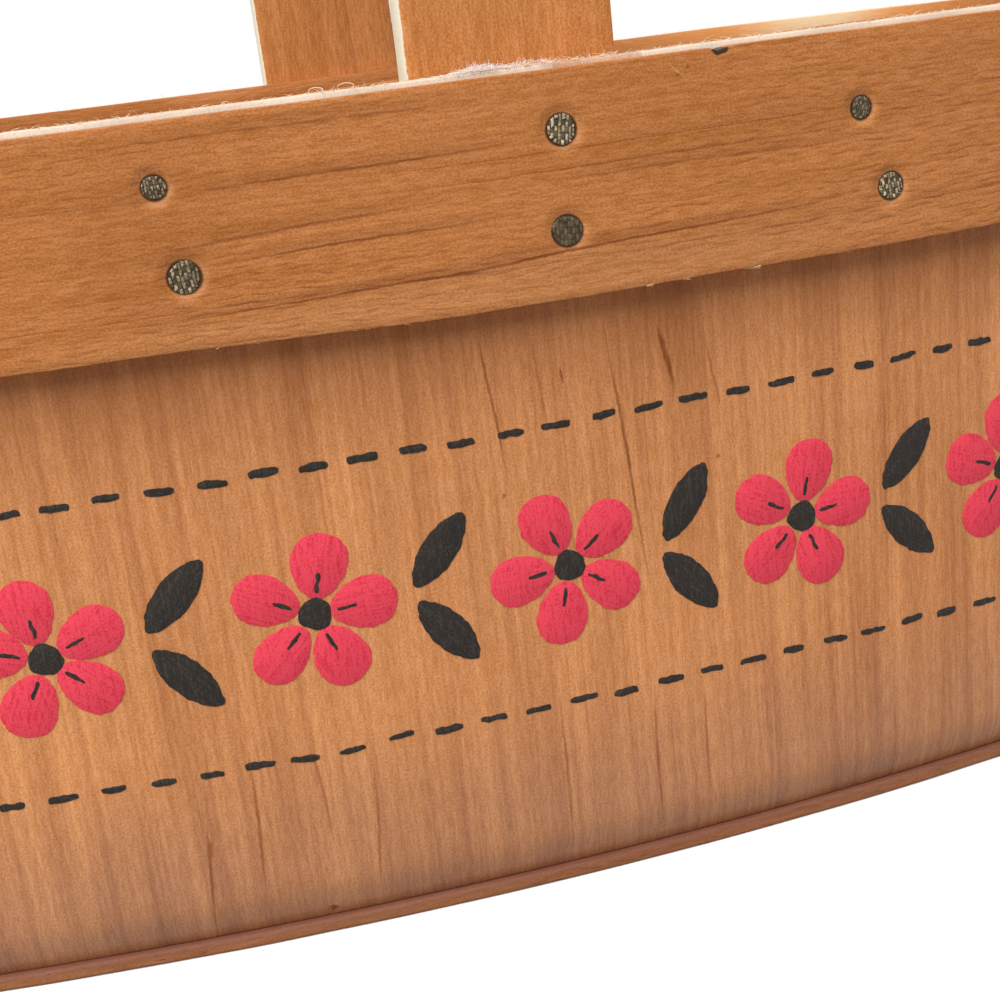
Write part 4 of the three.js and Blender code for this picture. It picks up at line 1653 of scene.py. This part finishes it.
# %% Wall finish
WALL_COLOURS = ((0.73, 0.315, 0.117, 1), (0.43, 0.16, 0.053, 1), (0.2, 0.052, 0.01, 1))
RAW_EDGE = (1.1 * MM, 1.5 * MM)
RAW_FRAY = 0.5 * MM
END_GRAIN = 0.3 * MM
SMEAR_AT = 12.5 * MM - WALL_START
SMEAR_EDGE = (8.5 * MM, 10.5 * MM)
SMEAR_FRAY = 4 * MM
FOOT_SHADE_NEAR = (2 * MM, 20 * MM)
FOOT_SHADE_WIDE = (8 * MM, 42 * MM)
FOOT_SHADE_EASE = 3 * MM
RIM_SHADOW = (3 * MM, 24 * MM)
FRAY_WAVES = (300, 900, 0)
FOOT_SHADE_WAVES = (40, 60, 0)
RIM_SHADOW_WAVES = (30, 45, 0)
WALL_LINES = (
    (-10.5, 92, 18, 0.42, -0.1, 0.75),
    (-2, 93, 11, 0.38, -0.08, 0.55),
    (12, 79, 32, 0.42, -0.08, 0.8),
    (28.5, 90, 10, 0.4, -0.15, 0.55),
    (-68.5, 15, 16, 0.42, 0.08, 0.75),
    (-59, 23, 18, 0.42, 0.05, 0.7),
    (-47.5, 27, 12, 0.4, -0.06, 0.55),
    (-4, 21, 18, 0.4, 0.0, 0.55),
    (13, 20, 16, 0.42, 0.0, 0.7),
    (23, 20, 13, 0.38, 0.0, 0.55),
    (-39, 19, 17, 0.38, 0.07, 0.55),
)
WALL_SPOTS = (
    (20.3, 93.5, 8, 0.8, -0.2, 1.0),
    (2, 93, 2.2, 0.4, -0.1, 0.8),
    (-67.8, 21, 2.8, 0.8, 0.08, 0.8),
    (-9.8, 74.4, 0.6, 0.45, 0.0, 0.7),
    (28.4, 74.2, 0.7, 0.5, 0.0, 0.7),
    (-48.4, 4.6, 0.8, 1.3, 0.0, 1.0),
)


def wall_mark(along, height, half_length, half_width, slope, strength):
    """A mark on the front of the wall, in millimetres: slope is how far it moves along for each step up."""
    centre = (WALL_LOG + height * MM - WALL_FOOT, along * MM - WALL_START, 0)
    return centre, (half_length * MM, half_width * MM, 1), slope, strength


def wall_raw(tree, stock):
    height, along, _ = split(tree, stock)
    frayed = clouds(tree, stock, FRAY_WAVES)
    below_top = less(tree, WALL_LOG + WALL_HEIGHT, height)
    raw = between(tree, onto(tree, below_top, frayed, -RAW_FRAY), *RAW_EDGE, 1.0, 0.0)
    end_grain = between(tree, below_top, 0.0, END_GRAIN, 0.78, 1.0)
    from_smear = sums(tree, "ABSOLUTE", less(tree, along, SMEAR_AT))
    smeared = between(tree, onto(tree, from_smear, frayed, SMEAR_FRAY), *SMEAR_EDGE, 0.45, 1.0)
    return times(tree, raw, end_grain, smeared)


# Painted shade: the wall darkens towards its foot, a little less right at the lip.
def wall_foot_shade(tree, stock):
    above_foot = less(tree, split(tree, stock)[0], WALL_LOG)
    patchy = patches(tree, stock, FOOT_SHADE_WAVES, 0.3, 0.7, 0.75, detail=3.0)
    near = between(tree, above_foot, *FOOT_SHADE_NEAR, 0.4, 0.0)
    wide = between(tree, above_foot, *FOOT_SHADE_WIDE, 0.3, 0.0)
    rubbed = between(tree, above_foot, 0.0, FOOT_SHADE_EASE, 0.7, 1.0)
    return times(tree, most(tree, near, wide), rubbed, patchy)


def wall_marks_and_rim_shadow(tree, stock):
    below_rim = less(tree, WALL_LOG + OUTER_FOOT - WALL_FOOT, split(tree, stock)[0])
    patchy = patches(tree, stock, RIM_SHADOW_WAVES, 0.3, 0.7, 0.6, detail=3.0)
    # Painted shadow: the wall darkens for some way under the rim strip.
    painted_rim_shadow = times(tree, between(tree, below_rim, *RIM_SHADOW, 0.42, 0.0), patchy)
    marks = [wall_mark(*mark) for mark in WALL_LINES + WALL_SPOTS]
    return most(tree, lay_marks(tree, wavered_place(tree, stock), marks), painted_rim_shadow)


wall_finish = wood_material(
    "wall_stain_and_painted_shade", WALL_COLOURS,
    {"Ring Spacing": 8.5 * MM, "Ring Wander": 6 * MM, "Line Width": 0.05, "Ring Fade": 24.0,
     "Ring Shade": 0.1, "Dashes": 0.16, "Pore Limit": 0.74},
    0.74, marks=wall_marks_and_rim_shadow, pale_mask=wall_raw, painted_shade_mask=wall_foot_shade)
give_finish(wall_finish, bent_wall)

# %% [markdown]
# ## The outer strip's finish
# Its bold ring lines run along the front and are placed one by one, each with a soft shade over it
# where the late wood deepens towards it. The edges are rubbed pale in places. A painted shadow darkens
# the gap round each nail head and a painted shade darkens the chip, and at the lower right of each
# head a pale crescent is a painted highlight, where the pressed dish faces the sun.

# %% Marks on the outer strip
RIM_COLOURS = ((0.555, 0.208, 0.062, 1), (0.425, 0.146, 0.032, 1), (0.15, 0.032, 0.004, 1))
# Pale colour for the rubbed edges, and for the painted highlight beside each head.
RIM_RUB_AND_HIGHLIGHT = (0.9, 0.68, 0.42, 1)
# Near-black colour of the painted shadow round the heads and in the chip.
SEAT_SHADE = (0.04, 0.02, 0.008, 1)
RIM_RUB = 0.09 * MM
EDGE_WAVES = (700, 700, 700)
EDGE_RAGGED = 0.3 * MM
HIGHLIGHT_WAVES = (700, 1500, 0)
SEAT_SHADE_RANGE = (0.15, 0.5)
CRESCENT_INSIDE = (0.35, 0.6)
CRESCENT_OUTSIDE = (0.6, 1.5)
RIM_BUMP = 0.04 * MM
SHADE_ABOVE = 0.7
SHADE_HALF_WIDTH = 1.5
SHADE_SHARE = 0.36
RIM_LINES = (
    (-36, 32.6, 36, 0.32, 0.0, 0.5),
    (-28, 25.2, 34, 0.34, 0.014, 0.75),
    (-40, 17.4, 32, 0.42, 0.04, 0.6),
    (-28, 14.1, 32, 0.34, 0.02, 0.75),
    (-5, 7.2, 84, 0.36, 0.036, 0.85),
    (30, 18.6, 36, 0.36, -0.017, 0.5),
)
RIM_SPOTS_AND_SHADE = (
    (25.9, 33.4, 0.35, 0.3, 0.0, 0.9),
    (24.3, 32.3, 0.35, 0.3, 0.0, 0.8),
    # Painted shade: a broad darkening over the left of the front.
    (-60, 18, 16, 22, 0.0, 0.14),
)
PALE_MARKS = (
    (24.3, 32.6, 1.9, 0.2, -0.9, 0.25),
    (-5, 2.0, 110, 8.5, 0.036, 0.05),
)
CHIP_SHADE_MARK = (CHIP_AT / MM, 35.2, 2.1, 0.85, 0.0, 1.0)


def rim_mark(along, up, half_length, half_width, slope, strength):
    """A mark on the front of the outer strip, in millimetres up from its lower edge."""
    centre = (along * MM - OUTER_START + PLAN_LENGTH, OUTER_HEIGHT - up * MM, 0)
    return centre, (half_length * MM, half_width * MM, 1), -slope, strength


def rim_marks_and_shade(tree, stock):
    shades = [(along, up + SHADE_ABOVE, half_length, SHADE_HALF_WIDTH, slope, strength * SHADE_SHARE)
              for along, up, half_length, _, slope, strength in RIM_LINES]
    marks = [rim_mark(*mark) for mark in (*RIM_LINES, *shades, *RIM_SPOTS_AND_SHADE)]
    return lay_marks(tree, wavered_place(tree, stock), marks)


print(len(RIM_LINES), "ring lines on the front of the outer strip")

# %% [markdown]
# What shows pale and what is darkened is told by masks: raw edges and a painted highlight beside each
# head show pale, while a painted shadow round each head and a painted shade in the chip darken the wood.
# They read the distance from each head, in millimetres, that the strip kept on the bench, and the chip's
# painted shade also hides the pale edge there.

# %% Outer strip finish
def edge_raw(tree, stock, width, low, high):
    """The raw edges of a strip that lies between two places across the stock."""
    place = split(tree, stock)[1]
    nearest = sums(tree, "MINIMUM", less(tree, place, low), less(tree, high, place))
    ragged = onto(tree, nearest, clouds(tree, stock, EDGE_WAVES), EDGE_RAGGED)
    return between(tree, ragged, width * 0.6, width, 1.0, 0.0)


def chip_shade(tree, stock):
    return between(tree, lay_marks(tree, wavered_place(tree, stock), [rim_mark(*CHIP_SHADE_MARK)]), 0.1, 0.5)


# Painted shadow: a near-black ring in the gap round each head, and painted shade in the chip.
def seat_and_chip_shade(tree, stock):
    seat = between(tree, kept(tree, "past_head"), *SEAT_SHADE_RANGE, 1.0, 0.0)
    return most(tree, seat, chip_shade(tree, stock))


def outer_raw_and_highlight(tree, stock):
    past_head = kept(tree, "past_head")
    near_head = between(tree, past_head, *CRESCENT_OUTSIDE, 0.2, 0.0)
    ring = times(tree, near_head, between(tree, past_head, *CRESCENT_INSIDE))
    frayed = patches(tree, stock, HIGHLIGHT_WAVES, 0.35, 0.65, 0.3)
    # Painted highlight: pale on the lower right of each head, where the dish faces the sun.
    crescent = times(tree, ring, between(tree, kept(tree, "lower_right"), -0.1, 0.9), frayed)
    edges = edge_raw(tree, stock, RIM_RUB, 0.0, OUTER_HEIGHT)
    edges = times(tree, edges, less(tree, 1.0, chip_shade(tree, stock)))
    pale = lay_marks(tree, stock, [rim_mark(*mark) for mark in PALE_MARKS])
    return most(tree, edges, crescent, pale)


outer_finish = wood_material(
    "outer_strip_stain_and_painted_light", RIM_COLOURS,
    {"Ring Spacing": 5.8 * MM, "Ring Wander": 4.5 * MM, "Line Width": 0.075, "Ring Fade": 11.0,
     "Ring Shade": 0.4, "Dashes": 0.7, "Pore Limit": 0.76},
    0.95, marks=rim_marks_and_shade, pale_mask=outer_raw_and_highlight, pale_colour=RIM_RUB_AND_HIGHLIGHT, painted_shade_mask=seat_and_chip_shade,
    painted_shade_colour=SEAT_SHADE, bump=RIM_BUMP)
give_finish(outer_finish, outer_strip)

# %% [markdown]
# ## The inner strip's finish
# The inner strip has the rim's stain, but at the far right corner, where it shows over the rim, it
# turns pale: a painted pool of light where the sun falls strongly on the inside of that corner. A
# distance from that corner, along the stock, fades the stain in again.

# %% Inner strip finish
# Painted light: a pale pool on the inside of the far right corner, fading out along the strip.
LIT_PATCH_AT = INNER_LOG[0] + (ARC_STARTS[3] + ARC_STARTS[4]) / 2 - INNER_START
LIT_PATCH_FADE = (6 * MM, 85 * MM)
LIT_PATCH_CORE = (2 * MM, 31 * MM)
LIT_PATCH_PALE = (0.9, 0.7, 0.42, 1)
LIT_PATCH_WARM = (0.9, 0.41, 0.137, 1)


def from_lit_patch(tree, stock):
    return sums(tree, "ABSOLUTE", less(tree, split(tree, stock)[0], LIT_PATCH_AT))


def inner_raw_and_lit_patch(tree, stock):
    thin = between(tree, from_lit_patch(tree, stock), *LIT_PATCH_FADE, 0.84, 0.0)
    return most(tree, edge_raw(tree, stock, RIM_RUB, INNER_LOG[1], INNER_LOG[1] + INNER_HEIGHT), thin)


def inner_raw_and_lit_patch_colour(tree, stock):
    return mixed(tree, between(tree, from_lit_patch(tree, stock), *LIT_PATCH_CORE), LIT_PATCH_PALE, LIT_PATCH_WARM)


inner_finish = wood_material(
    "inner_strip_stain_and_painted_light", RIM_COLOURS,
    {"Ring Spacing": 7 * MM, "Ring Wander": 4.5 * MM, "Line Width": 0.07, "Ring Fade": 11.0,
     "Ring Shade": 0.25, "Dashes": 0.4, "Pore Limit": 0.76},
    0.7, pale_mask=inner_raw_and_lit_patch, pale_colour=inner_raw_and_lit_patch_colour, bump=RIM_BUMP)
give_finish(inner_finish, inner_strip)

# %% [markdown]
# ## The finishes of the handle and the board
# The handle was cut to width after staining, so both its edges are raw and almost white. The board's
# stain is darkened, partly a painted shade for the lip, which sits low in shade, and the board is matt.
# Along the top of the lip, where it meets the wall, a red-brown painted shade darkens it further.

# %% Handle and board finishes
HANDLE_COLOURS = ((0.66, 0.266, 0.08, 1), (0.48, 0.172, 0.042, 1), (0.24, 0.07, 0.018, 1))
HANDLE_EDGE = (0.99, 0.93, 0.72, 1)
HANDLE_RUB = 0.3 * MM
# The board's stain, darkened: partly a painted shade for the lip.
BOARD_STAIN_AND_SHADE = ((0.36, 0.145, 0.062, 1), (0.26, 0.096, 0.04, 1), (0.1, 0.03, 0.012, 1))
LIP_SHADE = (0.088, 0.038, 0.045, 1)
LIP_SHADE_FROM = (0.8 * MM, 2.6 * MM)
LIP_SHADE_UP_TO = (LIP_HEIGHT + 0.5 * MM, LIP_HEIGHT + 0.9 * MM)


def handle_raw(tree, stock):
    return edge_raw(tree, stock, HANDLE_RUB, 0.0, HANDLE_WIDTH)


# Painted shade: the top of the lip darkens where it meets the wall.
def lip_shade(tree, stock):
    height = split(tree, stock)[2]
    on_lip = between(tree, height, *LIP_SHADE_UP_TO, 0.5, 0.0)
    return times(tree, between(tree, height, *LIP_SHADE_FROM), on_lip)


handle_finish = wood_material(
    "handle_stain", HANDLE_COLOURS,
    {"Ring Spacing": 7.5 * MM, "Ring Wander": 4 * MM, "Line Width": 0.06, "Ring Fade": 10.0,
     "Ring Shade": 0.3, "Dashes": 0.35, "Pore Limit": 0.7},
    0.9, pale_mask=handle_raw, pale_colour=HANDLE_EDGE)
board_finish = wood_material(
    "bottom_stain_and_painted_shade", BOARD_STAIN_AND_SHADE,
    {"Ring Spacing": 8 * MM, "Ring Wander": 6 * MM, "Line Width": 0.07, "Ring Fade": 9.0, "Dashes": 0.4},
    0.5, painted_shade_mask=lip_shade, painted_shade_colour=LIP_SHADE, shine=0.06)
give_finish(handle_finish, hoop_strip)
give_finish(board_finish, bottom_board)

# %% [markdown]
# ## The nails' finish
# The nails have a dark bronze skin, rubbed bright on the highest checks, which the peak attribute
# marks. How bright is each nail's own wear, so a single material serves them all.

# %% Nail finish
NAIL_SKIN = ((0.045, 0.031, 0.016, 1), (0.12, 0.083, 0.044, 1))
NAIL_RUBBED = (0.62, 0.52, 0.34, 1)
SKIN_WAVES = (900, 900, 900)
SPECK_WAVES = (2600, 2600, 2600)
DULL = 0.15


def nail_material():
    material, tree, shader = new_material("nail_oxide")
    place = put(tree, "ShaderNodeTexCoord").outputs["Object"]
    patchy = patches(tree, place, SKIN_WAVES, 0.35, 0.68, detail=3.0)
    speck = patches(tree, place, SPECK_WAVES, 0.38, 0.6, 0.3)
    rubbed = times(tree, between(tree, kept(tree, "peak"), 0.25, 0.9), speck, kept(tree, "worn"))
    colour = mixed(tree, rubbed, mixed(tree, patchy, *NAIL_SKIN), NAIL_RUBBED)
    feed(tree, shader, {"Base Color": colour, "Roughness": onto(tree, 0.4, patchy, 0.2), "Metallic": 0.2,
                        "Specular IOR Level": DULL})
    return material


give_finish(nail_material(), *driven_nails)

# %% [markdown]
# ## Fibres and paint
# The fur is raw wood, the splinters are a little stained, and the lint is grey-white. The paint is
# thin: its brush streaks run along each stroke, and the grain of the wall shows in it as a slight
# change of tone and as relief.

# %% Fibre and paint finishes
FIBRE_WAVES = (700, 700, 700)
BRISTLE_WAVES = (160, 1900, 0)


def fibre_material(name, first, second):
    material, tree, shader = new_material(name)
    place = put(tree, "ShaderNodeTexCoord").outputs["Object"]
    tone = patches(tree, place, FIBRE_WAVES, 0.35, 0.65)
    colour = mixed(tree, tone, first, second)
    feed(tree, shader, {"Base Color": colour, "Roughness": onto(tree, 0.8, tone, 0.1)})
    return material


def paint_material(name, body, thin, rough):
    material, tree, shader = new_material(name)
    streak = clouds(tree, kept(tree, "stroke", "Vector"), BRISTLE_WAVES, roughness=0.6)
    grown = put(tree, "ShaderNodeGroup", {"Stock": kept(tree, "stock", "Vector")}, node_tree=wood_figure)
    worn = onto(tree, times(tree, streak, 0.8), grown.outputs["Flecks"], 0.5)
    relief = onto(tree, streak, grown.outputs["Height"], 0.5)
    bump = put(tree, "ShaderNodeBump", {"Height": relief, "Strength": 1.0, "Distance": GRAIN_BUMP})
    feed(tree, shader, {"Base Color": mixed(tree, between(tree, worn, 0.55, 0.98), body, thin),
                        "Roughness": onto(tree, rough, streak, 0.2), "Normal": bump.outputs["Normal"],
                        "Specular IOR Level": DULL})
    return material


give_finish(fibre_material("raw_fibre", (0.86, 0.74, 0.52, 1), (0.9, 0.82, 0.66, 1)), edge_fur)
give_finish(fibre_material("splinter_wood", (0.75, 0.55, 0.33, 1), (0.62, 0.36, 0.17, 1)), edge_splinters)
give_finish(fibre_material("lint_white", (0.82, 0.82, 0.84, 1), (0.9, 0.88, 0.86, 1)), lint_tuft)
give_finish(paint_material("red_paint", (0.79, 0.065, 0.1, 1), (0.62, 0.03, 0.06, 1), 0.42), painted_petals)
give_finish(paint_material("dark_paint", (0.022, 0.018, 0.015, 1), (0.05, 0.042, 0.036, 1), 0.5),
            painted_dark_marks)

# %% [markdown]
# ## Floor and light
# The basket stands on a plain pale floor. One broad soft sun from the upper left gives the shadow under
# the rim strip, and an even world fills the rest. Seen directly or in gloss, the floor and the
# background are white, while the light that the floor throws back is kept low, so that the foot of the
# wall stays in shade as it does on a table.

# %% Stage
FLOOR_SIZE = 12
FLOOR_LIT = (0.3, 0.29, 0.28, 1)
FLOOR_SEEN = (0.93, 0.93, 0.93, 1)
SUN_FROM = Vector((-0.5, -0.62, 1.0))
SUN_STRENGTH = 4.0
SUN_SOFTNESS = math.radians(50)
FILL = 0.34


def seen_white(tree):
    """One for the rays that should find the background white: seen directly, in gloss or through glass."""
    path = put(tree, "ShaderNodeLightPath").outputs
    return most(tree, path["Is Camera Ray"], path["Is Glossy Ray"], path["Is Transmission Ray"])


def add_floor():
    select_only()
    bpy.ops.mesh.primitive_plane_add(size=FLOOR_SIZE)
    floor = bpy.context.object
    floor.name = "floor"
    material, tree, shader = new_material("floor_pale")
    feed(tree, shader, {"Base Color": mixed(tree, seen_white(tree), FLOOR_LIT, FLOOR_SEEN), "Roughness": 0.9,
                        "Specular IOR Level": 0.0})
    floor.data.materials.append(material)


def add_light():
    bpy.ops.object.light_add(type="SUN")
    sun = bpy.context.object
    sun.data.energy = SUN_STRENGTH
    sun.data.angle = SUN_SOFTNESS
    sun.rotation_euler = SUN_FROM.to_track_quat("Z", "Y").to_euler()
    world = bpy.data.worlds.new("studio")
    bpy.context.scene.world = world
    world.use_nodes = True
    tree = world.node_tree
    fill, white = [put(tree, "ShaderNodeBackground", {"Color": WHITE, "Strength": strength}).outputs[0]
                   for strength in (FILL, 1.0)]
    both = put(tree, "ShaderNodeMixShader", {0: seen_white(tree), 1: fill, 2: white})
    feed(tree, tree.nodes["World Output"], {"Surface": both.outputs[0]})


add_floor()
add_light()
bpy.context.scene.view_settings.view_transform = "Standard"
print("floor and light ready")

# %% [markdown]
# ## Done

# %% Finish
print("scene built")
